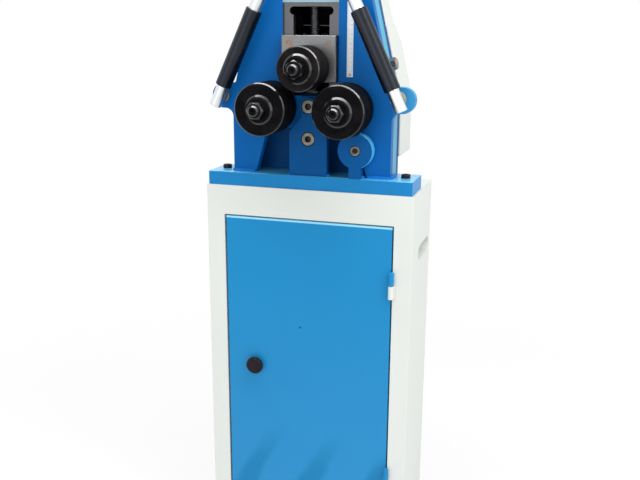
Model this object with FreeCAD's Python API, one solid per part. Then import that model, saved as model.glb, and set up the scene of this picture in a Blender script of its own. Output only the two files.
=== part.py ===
import FreeCAD, Part
import math
import os

from FreeCAD import Vector

# Ring roller (section bending machine) on a sheet-steel cabinet.
# Every shape is drawn in millimetres with X to the right, Y to the back from the cabinet's front face and
# Z up from the cabinet's top. save() then moves it so that the origin is the middle of the cabinet's foot.

# ---- Driving dimensions: cabinet ----
CABINET_WIDTH = 500.0
CABINET_DEPTH = 225.0
CABINET_HEIGHT = 920.0
SHEET = 2.0
CABINET_TOP_THICKNESS = 5.0
DOOR_HALF_WIDTH = 203.0
DOOR_TOP = -73.5
DOOR_BOTTOM = -850.0
DOOR_GAP = 3.5
DOOR_DEPTH = 18.0
DOOR_BEND = 3.5
DOOR_LIP = 16.0
STOP_LIP = 12.0
HINGE_X = 204.7
HINGE_Y = -6.6
HINGE_RADIUS = 6.3
HINGE_TOPS = (-177.0, -673.0)
HINGE_HALF_LENGTH = 31.2
HINGE_WASHER = 1.0
HINGE_CAP = 6.0
HINGE_PIN_RADIUS = 4.0
KNOB_X = -130.5
KNOB_Z = -444.5
KNOB_RADIUS = 21.0
KNOB_NECK_RADIUS = 11.0
KNOB_FRONT = -18.0
SPINDLE_RADIUS = 6.0
SPINDLE_END = 30.0
LATCH_FRONT = 23.0
LATCH_BACK = 27.0
LATCH_REACH = 74.0
LATCH_HALF_TIP = 10.0
LATCH_HALF_HEAD = 13.0
HAND_GRIP_Y = 141.0
HAND_GRIP_Z = -152.0
HAND_GRIP_LENGTH = 130.0
HAND_GRIP_HEIGHT = 36.0
HAND_GRIP_DEPTH = 24.0

# ---- Driving dimensions: machine frame ----
BASE_WIDTH = 490.0
BASE_FRONT = 3.0
BASE_BACK = 107.0
BASE_THICKNESS = 32.0
BASE_SCREW_X = 219.0
BASE_SCREW_Y = 55.0
BASE_SCREW_RADIUS = 7.0
PLATE_FRONT = 26.0
FRONT_PLATE_THICKNESS = 22.0
REAR_PLATE_FRONT = 86.0
REAR_PLATE_THICKNESS = 20.0
FRAME_HALF_WIDTH = 189.0
FRAME_TOP = 470.0
SLOPE_START = 207.0
SLOPE = 0.235
SIDE_WALL = 12.0
EAR_X = 211.5
EAR_Z = 207.5
EAR_RADIUS = 29.0
EAR_NECK_RADIUS = 19.0
FOOT_ARCH_TOP = 138.0
FOOT_ARCH_HALF_TOP = 104.0
FOOT_ARCH_HALF_BOTTOM = 134.0
BRACKET_FRONT = 8.0
BRACKET_HALF_WIDTH = 44.5
BRACKET_SHOULDER = 132.0
BRACKET_HEAD_RADIUS = 20.0
BRACKET_NECK_HALF_WIDTH = 15.5
BRACKET_SCREWS_Z = (116.0, 189.0)
BRACKET_SCREW_RADIUS = 8.0
BRACKET_SCREW_HEAD = 16.0
BRACKET_SINK_RADIUS = 16.6
BRACKET_SINK_DEPTH = 12.0
BRACKET_NUT_FLATS = 24.0
BRACKET_NUT_LENGTH = 10.0
LUG_X = 112.0
LUG_Z = 95.0
LUG_RADIUS = 40.0
LUG_NECK_HALF_WIDTH = 14.0
LUG_SCREW_RADIUS = 8.0
LUG_SCREW_HEAD = 12.0
LUG_SINK_RADIUS = 12.5
LUG_SINK_DEPTH = 10.6
HEAD_BELOW_FACE = 0.6
RULE_X = (84.5, 98.7)
RULE_Z = (256.0, 440.0)
RULE_THICKNESS = 1.2
RULE_HOLE_INSET = 6.0
CAP_THICKNESS = 28.0
CAP_BEVEL = 4.0
CAP_BOSS = 12.0
CAP_BOSS_RADIUS = 32.0
FEED_NUT_RADIUS = 18.0
FEED_NUT_FLANGE_RADIUS = 27.0
FEED_NUT_FLANGE = 6.0
CAP_SCREW_X = 88.0
CAP_SCREWS_Y = (37.0, 96.0)
CAP_SCREW_RADIUS = 6.0
CAP_SCREW_HOLE_DEPTH = 30.0
SIDE_BOLT_Y = 72.0
SIDE_BOLT_Z = 282.6
SIDE_BOLT_RADIUS = 8.0
SIDE_BOLT_FLATS = 24.0
SIDE_BOLT_HEAD = 15.0
SIDE_WASHER_RADIUS = 14.0
SIDE_WASHER_THICKNESS = 3.0

# ---- Driving dimensions: rollers and their shafts ----
LOWER_X = 90.0
LOWER_Z = 186.0
UPPER_Z = 275.4
LOWER_RADIUS = 59.0
UPPER_RADIUS = 49.0
ROLLER_FRONT = -65.0
LOWER_RING_WIDTHS = (20.0, 4.0, 30.0, 31.0)
UPPER_RING_WIDTHS = (20.0, 26.0, 26.0)
RING_GROOVE = 6.0
RING_BEVEL = 2.5
SPACER_BEVEL = 0.4
SHAFT_RADIUS = 15.0
SHOULDER_RADIUS = 22.0
THREAD_RADIUS = 12.0
RUNNING_FIT = 0.05
END_PLAY = 0.3
KEY_HALF_WIDTH = 4.0
KEY_HEIGHT = 3.0
COLLAR_RADIUS = 33.0
COLLAR_LENGTH = 9.0
COLLAR_FRONT_RADIUS = 25.0
COLLAR_BEVEL = 7.0
NUT_FLATS = 36.0
NUT_LENGTH = 21.0
TIP_LENGTH = 9.0
BUSH_RADIUS = 22.5
BUSH_FLANGE_RADIUS = 30.0
BUSH_FLANGE = 3.0
SHAFT_RING_RADIUS = 23.0
SHAFT_RING_LENGTH = 7.0
SHAFT_RING_SLOT_HALF = 3.0
SHAFT_RING_SLOT_FLOOR = 20.0

# ---- Driving dimensions: slide and feed screw ----
RECESS_HALF_WIDTH = 65.0
RECESS_DEPTH = 6.0
RECESS_TOP = 416.0
WINDOW_HALF_WIDTH = 42.0
WINDOW_TOP = 407.0
WINDOW_BOTTOM = 212.0
CORNER_RELIEF_RADIUS = 9.0
SLIDE_FRONT = 9.5
SLIDE_HALF_WIDTH = 63.8
SLIDE_BOTTOM = 243.5
SLIDE_TOP = 345.5
SLIDE_BODY_TOP = 340.0
SLIDE_PLAY = 0.1
SLIDE_SCREW_X = 46.0
SLIDE_SCREW_Z = 329.0
SLIDE_SCREW_HEAD = 5.0
KEEPER_THICKNESS = 8.0
KEEPER_HALF_WIDTH = 60.0
KEEPER_SCREW_X = 33.0
KEEPER_SCREW_INSET = 12.0
KEEPER_SCREW_RADIUS = 4.0
POCKET_BOTTOM = 322.0
POCKET_RADIUS = 16.5
SCREW_Y = 60.0
SCREW_RADIUS = 11.0
SCREW_SPIGOT_RADIUS = 9.0
STAR_Z = 562.0
STAR_HUB_HALF_HEIGHT = 18.0
STAR_HUB_RADIUS = 28.0
STAR_HUB_BEVEL = 4.0
STAR_NUT_RADIUS = 14.0
STAR_KNOB_RADIUS = 17.0
STAR_KNOB_START = -16.0
STAR_KNOB_END = 24.0
STAR_ARM_LENGTH = 150.0
STAR_ARM_RADIUS = 8.0
STAR_ARMS = 4

# ---- Driving dimensions: gears, gear case, drive ----
MODULE = 3.0
ROLLER_TEETH = 52
PINION_TEETH = 20
GEAR_FRONT = 124.0
GEAR_WIDTH = 25.0
GEAR_HUB_RADIUS = 24.0
CASE_BACK = 229.0
CASE_BOTTOM = 73.0
CASE_WALL = 3.0
CASE_LIP = 3.0
CASE_BEVEL_START = 330.0
CASE_SEAM = 367.0
CASE_SEAM_BACK = 202.0
SEAM_GAP = 0.8
COVER_LIP = 1.5
COVER_SEAM_BACK = 198.0
COVER_SLOPE_END = 405.0
COVER_BACK = 180.0
COVER_TOP = 455.0
WORM_OFFSET = -63.0
WORM_Y = 300.0
GEARBOX_BACK = 348.0
WHEEL_HOUSING_RADIUS = 62.0
WHEEL_NECK_RADIUS = 44.0
WORM_HOUSING_RADIUS = 36.0
FLANGE_OVERHANG = 4.0
MOTOR_RADIUS = 60.0
MOTOR_TOP = 400.0
MOTOR_FINS = 16
FIN_HEIGHT = 6.0
FIN_HALF_THICKNESS = 1.5
FAN_COVER_LENGTH = 45.0
TERMINAL_BOX_HALF_WIDTH = 40.0
TERMINAL_BOX_BACK = 92.0

# ---- Driving dimensions: side levers ----
LEVER_Y = -11.0
LEVER_LOW_X = 218.4
LEVER_LOW_Z = 186.8
LEVER_SLOPE = 0.4696
LEVER_LENGTH = 285.0
LEVER_RADIUS = 13.75
LEVER_PIVOT_Z = 212.0
GRIP_RADIUS = 18.4
GRIP_START = 50.0
GRIP_LENGTH = 185.0
PIN_RADIUS = 8.0
PIN_WASHER_RADIUS = 18.0
PIN_WASHER_THICKNESS = 4.0
PIN_SLEEVE_RADIUS = 11.0
PIN_BACK_WASHER_RADIUS = 12.5
PIN_BACK_WASHER_THICKNESS = 2.5
PIN_NUT_FLATS = 21.0
PIN_NUT_LENGTH = 11.0

# ---- Sizes that follow from those above ----
CABINET_HALF_WIDTH = CABINET_WIDTH / 2.0
OPENING_HALF_WIDTH = DOOR_HALF_WIDTH + DOOR_GAP
OPENING_TOP = DOOR_TOP + DOOR_GAP
OPENING_BOTTOM = DOOR_BOTTOM - DOOR_GAP
PLATE_BACK = PLATE_FRONT + FRONT_PLATE_THICKNESS
REAR_PLATE_BACK = REAR_PLATE_FRONT + REAR_PLATE_THICKNESS
CAP_TOP = FRAME_TOP + CAP_THICKNESS
LOWER_ROLLER_BACK = ROLLER_FRONT + sum(LOWER_RING_WIDTHS)
UPPER_ROLLER_BACK = ROLLER_FRONT + sum(UPPER_RING_WIDTHS)
COLLAR_FRONT = ROLLER_FRONT - COLLAR_LENGTH
NUT_FRONT = COLLAR_FRONT - NUT_LENGTH
KEY_TOP = SHAFT_RADIUS + KEY_HEIGHT
KEEPER_FRONT = REAR_PLATE_BACK + SLIDE_PLAY
KEEPER_BACK = KEEPER_FRONT + KEEPER_THICKNESS
GEAR_BACK = GEAR_FRONT + GEAR_WIDTH
GEAR_RADIUS = MODULE * ROLLER_TEETH / 2.0
PINION_RADIUS = MODULE * PINION_TEETH / 2.0
PINION_Z = LOWER_Z - math.sqrt((GEAR_RADIUS + PINION_RADIUS) ** 2 - LOWER_X ** 2)
LEVER_TILT = math.atan(LEVER_SLOPE)
LEVER_PIVOT_X = LEVER_LOW_X - LEVER_SLOPE * (LEVER_PIVOT_Z - LEVER_LOW_Z)
ALONG_Y = Vector(0, 1, 0)
ALONG_Z = Vector(0, 0, 1)
OUT_OF_SLOPE = Vector(math.cos(math.atan(SLOPE)), 0, math.sin(math.atan(SLOPE)))


# ---- Drawing helpers ----

def block(x_limits, y_limits, z_limits):
    """A rectangular solid between three pairs of limits."""
    size = [high - low for low, high in (x_limits, y_limits, z_limits)]
    return Part.makeBox(*size, Vector(x_limits[0], y_limits[0], z_limits[0]))


def rod(radius, start, end):
    """A cylinder between two points."""
    axis = end - start
    return Part.makeCylinder(radius, axis.Length, start, axis)


def rod_y(radius, x, z, front, back):
    """A cylinder along Y."""
    return rod(radius, Vector(x, front, z), Vector(x, back, z))


def rod_z(radius, x, y, bottom, top):
    """A cylinder along Z."""
    return rod(radius, Vector(x, y, bottom), Vector(x, y, top))


def turned(profile, base, axis):
    """A solid turned about axis through base. The profile lists (radius, distance along the axis)."""
    points = [Vector(radius, 0, along) for radius, along in profile]
    face = Part.Face(Part.makePolygon(points + [points[0]]))
    solid = face.revolve(Vector(0, 0, 0), ALONG_Z, 360)
    solid.Placement = FreeCAD.Placement(base, FreeCAD.Rotation(ALONG_Z, axis))
    return solid


def ring(outer, inner, front, back, chamfer, x, z):
    """A disc with a bore along Y and both outer rims chamfered."""
    profile = [
        (inner, front), (outer - chamfer, front), (outer, front + chamfer),
        (outer, back - chamfer), (outer - chamfer, back), (inner, back),
    ]
    return turned(profile, Vector(x, 0, z), ALONG_Y)


def rounded_face(corners, y):
    """A flat face at one y. A corner is (x, z, radius), and a radius of 0 leaves it sharp."""
    points = [Vector(x, y, z) for x, z, _ in corners]
    arcs = []
    for index, (_, _, radius) in enumerate(corners):
        here = points[index]
        to_last = (points[index - 1] - here).normalize()
        to_next = (points[(index + 1) % len(points)] - here).normalize()
        half_angle = to_last.getAngle(to_next) / 2.0
        setback = radius / math.tan(half_angle)
        bisector = (to_last + to_next).normalize() if radius else Vector(0, 0, 0)
        middle = here + bisector * (radius / math.sin(half_angle) - radius)
        arcs.append((here + to_last * setback, middle, here + to_next * setback, radius))
    edges = []
    for index, (start, middle, end, radius) in enumerate(arcs):
        if radius:
            edges.append(Part.Arc(start, middle, end).toShape())
        following = arcs[(index + 1) % len(arcs)][0]
        if end.distanceToPoint(following) > 0.001:
            edges.append(Part.LineSegment(end, following).toShape())
    return Part.Face(Part.Wire(edges))


def plate(corners, front, back):
    """A flat plate between two y values with a rounded outline."""
    return rounded_face(corners, front).extrude(Vector(0, back - front, 0))


def hexagon(flats, base, axis, length):
    """A hexagonal bar that starts at base."""
    circle_radius = flats / math.sqrt(3.0)
    points = [
        Vector(circle_radius * math.cos(math.radians(60 * side)),
               circle_radius * math.sin(math.radians(60 * side)), 0)
        for side in range(7)
    ]
    bar = Part.Face(Part.makePolygon(points)).extrude(Vector(0, 0, length))
    bar.Placement = FreeCAD.Placement(base, FreeCAD.Rotation(ALONG_Z, axis))
    return bar


def hex_head(flats, base, axis, length, bore, turn=0.0):
    """A hexagon nut or head on base, its far end turned to a cone."""
    bar = hexagon(flats, base, axis, length)
    bar.rotate(base, axis, turn)
    rim = flats / math.sqrt(3.0)
    cone_length = 0.14 * flats
    cone_drop = 0.16 * flats
    profile = [(bore, 0), (rim, 0), (rim, length - cone_length), (rim - cone_drop, length), (bore, length)]
    return bar.common(turned(profile, base, axis))


def socket_screw(radius, head_radius, head_height, base, axis, grip):
    """A socket-head screw: the head stands on base along axis and the shank goes the other way."""
    rim = 0.1 * head_radius
    profile = [
        (0, -grip), (radius, -grip), (radius, 0), (head_radius, 0),
        (head_radius, head_height - rim), (head_radius - rim, head_height), (0, head_height),
    ]
    depth = 0.6 * head_height
    socket = hexagon(1.6 * radius, base + axis * (head_height - depth), axis, depth + 1.0)
    return turned(profile, base, axis).cut(socket)


def mirrored(shape):
    """The same shape on the other side of the machine's middle plane."""
    return shape.mirror(Vector(0, 0, 0), Vector(1, 0, 0))


def both_sides(shape):
    """A shape joined to its mirror image across the middle plane."""
    return shape.fuse(mirrored(shape)).removeSplitter()


def frame_half_width(z):
    """Half the width of the machine frame at one height: straight below, tapered above."""
    return FRAME_HALF_WIDTH - SLOPE * max(0.0, z - SLOPE_START)


def save(name, shapes):
    """Move a node to the floor frame and write it to its own file."""
    node = Part.makeCompound(shapes) if len(shapes) > 1 else shapes[0]
    node.translate(Vector(0, -CABINET_DEPTH / 2.0, CABINET_HEIGHT))
    node.exportStep(os.path.join("parts", name + ".step"))


# ---- Cabinet and door ----

def hand_grip(growth, inner_x, outer_x):
    """An oval bar along X at the hand grip's place, larger than the grip by growth all round."""
    radius = HAND_GRIP_HEIGHT / 2.0 + growth
    reach = (HAND_GRIP_LENGTH - HAND_GRIP_HEIGHT) / 2.0
    middle = block((inner_x, outer_x), (HAND_GRIP_Y - reach, HAND_GRIP_Y + reach),
                   (HAND_GRIP_Z - radius, HAND_GRIP_Z + radius))
    ends = [
        rod(radius, Vector(inner_x, HAND_GRIP_Y + shift, HAND_GRIP_Z),
            Vector(outer_x, HAND_GRIP_Y + shift, HAND_GRIP_Z))
        for shift in (-reach, reach)
    ]
    return middle.multiFuse(ends)


def cabinet_side():
    """The right side panel with its pressed hand grip."""
    inner_face = CABINET_HALF_WIDTH - SHEET
    dish_floor = CABINET_HALF_WIDTH - HAND_GRIP_DEPTH
    panel = block((inner_face, CABINET_HALF_WIDTH), (SHEET, CABINET_DEPTH), (-CABINET_HEIGHT, 0))
    dish = hand_grip(SHEET, dish_floor - SHEET, inner_face)
    hollow = hand_grip(0.0, dish_floor, CABINET_HALF_WIDTH + 1)
    return panel.fuse(dish).cut(hollow).removeSplitter()


def cabinet_front():
    """The front frame: a sheet whose door opening turns inwards and ends in a stop lip."""
    sheet = block((-CABINET_HALF_WIDTH, CABINET_HALF_WIDTH), (0, SHEET), (-CABINET_HEIGHT, 0))
    outer_edges = [edge for edge in sheet.Edges if is_upright(edge) and edge.BoundBox.YMax < SHEET / 2.0]
    sheet = sheet.makeFillet(0.8 * SHEET, outer_edges)
    lip_back = DOOR_DEPTH + 2.0 * SHEET
    lining = block((-OPENING_HALF_WIDTH - SHEET, OPENING_HALF_WIDTH + SHEET), (0, lip_back),
                   (OPENING_BOTTOM - SHEET, OPENING_TOP + SHEET))
    opening = block((-OPENING_HALF_WIDTH, OPENING_HALF_WIDTH), (-1, DOOR_DEPTH + SHEET),
                    (OPENING_BOTTOM, OPENING_TOP))
    way_in = block((-OPENING_HALF_WIDTH + STOP_LIP, OPENING_HALF_WIDTH - STOP_LIP), (-1, lip_back + 1),
                   (OPENING_BOTTOM + STOP_LIP, OPENING_TOP - STOP_LIP))
    return sheet.fuse(lining).cut(opening).cut(way_in).removeSplitter()


def cabinet_panels():
    """The cabinet's thick top with its two bolt holes, its floor and its back."""
    inner_half = CABINET_HALF_WIDTH - SHEET
    inner_back = CABINET_DEPTH - SHEET
    top = block((-inner_half, inner_half), (SHEET, inner_back), (-CABINET_TOP_THICKNESS, 0))
    for x in (-BASE_SCREW_X, BASE_SCREW_X):
        top = top.cut(rod_z(BASE_SCREW_RADIUS, x, BASE_SCREW_Y, -CABINET_TOP_THICKNESS - 1, 1))
    floor = block((-inner_half, inner_half), (SHEET, inner_back), (-CABINET_HEIGHT, -CABINET_HEIGHT + SHEET))
    back = block((-inner_half, inner_half), (inner_back, CABINET_DEPTH), (-CABINET_HEIGHT, 0))
    return [top, floor, back]


def is_upright(edge):
    """True for a straight edge along Z."""
    return abs(edge.tangentAt(edge.FirstParameter).z) > 0.99


def cabinet_door():
    """The door: a tray of folded sheet with rounded folds and a spindle boss for the latch."""
    door = block((-DOOR_HALF_WIDTH, DOOR_HALF_WIDTH), (0, DOOR_DEPTH), (DOOR_BOTTOM, DOOR_TOP))
    door = door.makeFillet(DOOR_BEND, [edge for edge in door.Edges if edge.BoundBox.YMax < 0.1])
    hollow = block((-DOOR_HALF_WIDTH + SHEET, DOOR_HALF_WIDTH - SHEET), (SHEET, DOOR_DEPTH - SHEET),
                   (DOOR_BOTTOM + SHEET, DOOR_TOP - SHEET))
    back = block((-DOOR_HALF_WIDTH + DOOR_LIP, DOOR_HALF_WIDTH - DOOR_LIP), (SHEET, DOOR_DEPTH + 1),
                 (DOOR_BOTTOM + DOOR_LIP, DOOR_TOP - DOOR_LIP))
    boss = rod_y(14.0, KNOB_X, KNOB_Z, SHEET / 2.0, DOOR_DEPTH)
    door = door.cut(hollow).cut(back).fuse(boss)
    return door.cut(rod_y(SPINDLE_RADIUS + RUNNING_FIT, KNOB_X, KNOB_Z, -1, DOOR_DEPTH + 1))


def hinge_half(bottom, top, tab_limits, hole_limits, fit):
    """One half of a lift-off weld-on hinge: its barrel, the tab that carries it and the pin's hole."""
    rim = 0.8
    barrel = turned([(0, bottom), (HINGE_RADIUS - rim, bottom), (HINGE_RADIUS, bottom + rim),
                     (HINGE_RADIUS, top - rim), (HINGE_RADIUS - rim, top), (0, top)],
                    Vector(HINGE_X, HINGE_Y, 0), ALONG_Z)
    tab = block(tab_limits, (HINGE_Y, 0), (bottom + rim, top - rim))
    hole = rod_z(HINGE_PIN_RADIUS + fit, HINGE_X, HINGE_Y, *hole_limits)
    return barrel.fuse(tab).cut(hole)


def door_hinge_halves():
    """The upper hinge halves, which lift off with the door."""
    tab = (HINGE_X - HINGE_RADIUS, HINGE_X - 1.0)
    halves = []
    for top in HINGE_TOPS:
        bottom = top - HINGE_HALF_LENGTH
        halves.append(hinge_half(bottom, top, tab, (bottom - 1, top - HINGE_CAP), RUNNING_FIT))
    return halves


def cabinet_hinge_halves():
    """The lower hinge halves, welded to the cabinet's frame and holding the pins."""
    tab = (OPENING_HALF_WIDTH + 0.2, HINGE_X + HINGE_RADIUS + 3.0)
    halves = []
    for door_top in HINGE_TOPS:
        top = door_top - HINGE_HALF_LENGTH - HINGE_WASHER
        bottom = top - HINGE_HALF_LENGTH
        halves.append(hinge_half(bottom, top, tab, (bottom + HINGE_CAP, top + 1), 0.0))
    return halves


def hinge_pins():
    """The pins pressed into the lower halves, each with the washer that the door rests on."""
    pins = []
    for door_top in HINGE_TOPS:
        top = door_top - HINGE_HALF_LENGTH - HINGE_WASHER
        bottom = top - HINGE_HALF_LENGTH
        washer = rod_z(HINGE_RADIUS - 1.0, HINGE_X, HINGE_Y, top, top + HINGE_WASHER - RUNNING_FIT)
        pin = rod_z(HINGE_PIN_RADIUS, HINGE_X, HINGE_Y, bottom + HINGE_CAP, door_top - HINGE_CAP - 1.0)
        pins.append(pin.fuse(washer))
    return pins


def door_knob():
    """The round turning knob with its spindle."""
    profile = [
        (0, KNOB_FRONT), (KNOB_RADIUS - 4.0, KNOB_FRONT + 0.8), (KNOB_RADIUS, KNOB_FRONT + 4.0),
        (KNOB_RADIUS, KNOB_FRONT + 9.0), (KNOB_RADIUS - 3.5, KNOB_FRONT + 11.0),
        (KNOB_NECK_RADIUS, KNOB_FRONT + 12.0), (KNOB_NECK_RADIUS, -END_PLAY), (SPINDLE_RADIUS, -END_PLAY),
        (SPINDLE_RADIUS, SPINDLE_END), (0, SPINDLE_END),
    ]
    return turned(profile, Vector(KNOB_X, 0, KNOB_Z), ALONG_Y)


def door_latch_cam():
    """The latch blade on the knob's spindle, hanging down while the door is unlatched."""
    tip = KNOB_Z - LATCH_REACH
    head = KNOB_Z + LATCH_HALF_HEAD
    blade = plate([(KNOB_X - LATCH_HALF_TIP, tip, 6), (KNOB_X + LATCH_HALF_TIP, tip, 6),
                   (KNOB_X + LATCH_HALF_HEAD, head, 12), (KNOB_X - LATCH_HALF_HEAD, head, 12)],
                  LATCH_FRONT, LATCH_BACK)
    return blade.cut(rod_y(SPINDLE_RADIUS, KNOB_X, KNOB_Z, 0, SPINDLE_END))


# ---- Machine frame ----

def base_plate():
    """The thick plate that the machine's frame stands on."""
    half = BASE_WIDTH / 2.0
    base = block((-half, half), (BASE_FRONT, BASE_BACK), (0, BASE_THICKNESS))
    base = base.makeChamfer(1.0, [edge for edge in base.Edges if edge.BoundBox.ZMin > BASE_THICKNESS - 0.1])
    for x in (-BASE_SCREW_X, BASE_SCREW_X):
        base = base.cut(rod_z(BASE_SCREW_RADIUS, x, BASE_SCREW_Y, -1, BASE_THICKNESS + 1))
    return base


def black_screws():
    """The black socket screws: two through the base plate and four in the crosshead."""
    screws = [
        socket_screw(BASE_SCREW_RADIUS, 1.5 * BASE_SCREW_RADIUS, 8.5, Vector(x, BASE_SCREW_Y, BASE_THICKNESS),
                     ALONG_Z, BASE_THICKNESS + 14.0)
        for x in (-BASE_SCREW_X, BASE_SCREW_X)
    ]
    screws += [
        socket_screw(CAP_SCREW_RADIUS, 1.5 * CAP_SCREW_RADIUS, 12.0, Vector(side * CAP_SCREW_X, y, CAP_TOP),
                     ALONG_Z, CAP_THICKNESS + CAP_SCREW_HOLE_DEPTH - 2.0)
        for side in (-1, 1) for y in CAP_SCREWS_Y
    ]
    return screws


def front_outline():
    """The right half of the front plate: foot arch, straight side, ear with its neck, tapered side."""
    ear_bottom = EAR_Z - EAR_RADIUS
    ear_top = EAR_Z + EAR_RADIUS
    ear_side = EAR_X + EAR_RADIUS
    return [
        (0, FOOT_ARCH_TOP, 0), (FOOT_ARCH_HALF_TOP, FOOT_ARCH_TOP, 12),
        (FOOT_ARCH_HALF_BOTTOM, BASE_THICKNESS, 0), (FRAME_HALF_WIDTH, BASE_THICKNESS, 0),
        (FRAME_HALF_WIDTH, ear_bottom, EAR_NECK_RADIUS),
        (ear_side, ear_bottom, EAR_RADIUS), (ear_side, ear_top, EAR_RADIUS),
        (frame_half_width(ear_top), ear_top, 8), (frame_half_width(FRAME_TOP), FRAME_TOP, 0),
        (0, FRAME_TOP, 0),
    ]


def window(front, back):
    """The slide's window with round reliefs in its upper corners."""
    cut = block((-WINDOW_HALF_WIDTH, WINDOW_HALF_WIDTH), (front, back), (WINDOW_BOTTOM, WINDOW_TOP))
    reliefs = [
        rod_y(CORNER_RELIEF_RADIUS, side * WINDOW_HALF_WIDTH, WINDOW_TOP - CORNER_RELIEF_RADIUS, front, back)
        for side in (-1, 1)
    ]
    return cut.multiFuse(reliefs)


def recess():
    """The slide's recess in the front plate, whose upper end slants out to the plate's face."""
    front = PLATE_FRONT - 1.0
    floor = PLATE_FRONT + RECESS_DEPTH
    profile = [(front, WINDOW_BOTTOM), (front, RECESS_TOP + floor - front), (floor, RECESS_TOP),
               (floor, WINDOW_BOTTOM)]
    points = [Vector(-RECESS_HALF_WIDTH, y, z) for y, z in profile]
    return Part.Face(Part.makePolygon(points + points[:1])).extrude(Vector(2.0 * RECESS_HALF_WIDTH, 0, 0))


def cap_screw_hole(side, y):
    """The hole down into one of the frame plates for a screw of the crosshead."""
    return rod_z(CAP_SCREW_RADIUS, side * CAP_SCREW_X, y, FRAME_TOP - CAP_SCREW_HOLE_DEPTH, FRAME_TOP + 1)


def front_plate():
    """The front plate with ears, foot arch, slide recess and window, and the lower shafts' bush holes."""
    body = both_sides(plate(front_outline(), PLATE_FRONT, PLATE_BACK))
    body = body.cut(window(PLATE_FRONT - 1, PLATE_BACK + 1)).cut(recess())
    pin_hole = PIN_RADIUS + RUNNING_FIT
    for side in (-1, 1):
        body = body.cut(rod_y(BUSH_RADIUS, side * LOWER_X, LOWER_Z, 0, PLATE_BACK + 1))
        body = body.cut(rod_y(pin_hole, side * LEVER_PIVOT_X, LEVER_PIVOT_Z, 0, PLATE_BACK + 1))
        body = body.cut(cap_screw_hole(side, CAP_SCREWS_Y[0]))
    return body.cut(rod_y(BRACKET_SCREW_RADIUS, 0, BRACKET_SCREWS_Z[1], 0, PLATE_BACK + 1))


def rear_plate():
    """The rear plate with its window and three bush holes."""
    outline = [
        (0, BASE_THICKNESS, 0), (FRAME_HALF_WIDTH, BASE_THICKNESS, 0), (FRAME_HALF_WIDTH, SLOPE_START, 0),
        (frame_half_width(FRAME_TOP), FRAME_TOP, 0), (0, FRAME_TOP, 0),
    ]
    front = REAR_PLATE_FRONT - 1
    back = REAR_PLATE_BACK + 1
    body = both_sides(plate(outline, REAR_PLATE_FRONT, REAR_PLATE_BACK)).cut(window(front, back))
    for side in (-1, 1):
        body = body.cut(rod_y(BUSH_RADIUS, side * LOWER_X, LOWER_Z, front, back))
        body = body.cut(cap_screw_hole(side, CAP_SCREWS_Y[1]))
    return body.cut(rod_y(BUSH_RADIUS, 0, PINION_Z, front, back))


def side_wall():
    """The right wall of the frame box, following the plates' tapered edge, with the side bolt's hole."""
    top_half = frame_half_width(FRAME_TOP)
    outline = [
        (FRAME_HALF_WIDTH - SIDE_WALL, BASE_THICKNESS, 0), (FRAME_HALF_WIDTH, BASE_THICKNESS, 0),
        (FRAME_HALF_WIDTH, SLOPE_START, 0), (top_half, FRAME_TOP, 0), (top_half - SIDE_WALL, FRAME_TOP, 0),
        (FRAME_HALF_WIDTH - SIDE_WALL, SLOPE_START, 0),
    ]
    foot = side_bolt_foot()
    hole = rod(SIDE_BOLT_RADIUS, foot - OUT_OF_SLOPE * 2.0 * SIDE_WALL, foot + OUT_OF_SLOPE)
    return plate(outline, PLATE_BACK, REAR_PLATE_FRONT).cut(hole)


def side_bolt_foot():
    """The point on the right wall's slope where the side bolt goes in."""
    return Vector(frame_half_width(SIDE_BOLT_Z), SIDE_BOLT_Y, SIDE_BOLT_Z)


def side_bolts():
    """The hexagon bolts with washers in the two sloping walls."""
    foot = side_bolt_foot()
    head_base = foot + OUT_OF_SLOPE * SIDE_WASHER_THICKNESS
    washer = rod(SIDE_WASHER_RADIUS, foot, head_base)
    head = hex_head(SIDE_BOLT_FLATS, head_base, OUT_OF_SLOPE, SIDE_BOLT_HEAD, 0)
    shank = rod(SIDE_BOLT_RADIUS, foot - OUT_OF_SLOPE * (SIDE_WALL + 6.0), foot)
    right = washer.multiFuse([head, shank])
    return [right, mirrored(right)]


def centre_bracket():
    """The house-shaped stiffener in front of the foot arch, with a rounded head and two sunk screws."""
    lower_z, upper_z = BRACKET_SCREWS_Z
    half = plate([(0, BASE_THICKNESS, 0), (BRACKET_HALF_WIDTH, BASE_THICKNESS, 0),
                  (BRACKET_HALF_WIDTH, BRACKET_SHOULDER, 0), (BRACKET_NECK_HALF_WIDTH, upper_z - 22.0, 14),
                  (BRACKET_NECK_HALF_WIDTH, upper_z, 0), (0, upper_z, 0)], BRACKET_FRONT, PLATE_FRONT)
    bracket = both_sides(half).fuse(rod_y(BRACKET_HEAD_RADIUS, 0, upper_z, BRACKET_FRONT, PLATE_FRONT))
    bracket = bracket.removeSplitter()
    for z in BRACKET_SCREWS_Z:
        bracket = bracket.cut(rod_y(BRACKET_SCREW_RADIUS, 0, z, 0, PLATE_FRONT + 1))
        bracket = bracket.cut(rod_y(BRACKET_SINK_RADIUS, 0, z, 0, BRACKET_FRONT + BRACKET_SINK_DEPTH))
    return bracket


def sunk_screw(radius, head_radius, depth, place, end):
    """A socket screw along Y: place is on the face, the head lies just under it, the shank ends at end."""
    base = place + ALONG_Y * depth
    return socket_screw(radius, head_radius, depth - HEAD_BELOW_FACE, base, -ALONG_Y, end - base.y)


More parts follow.
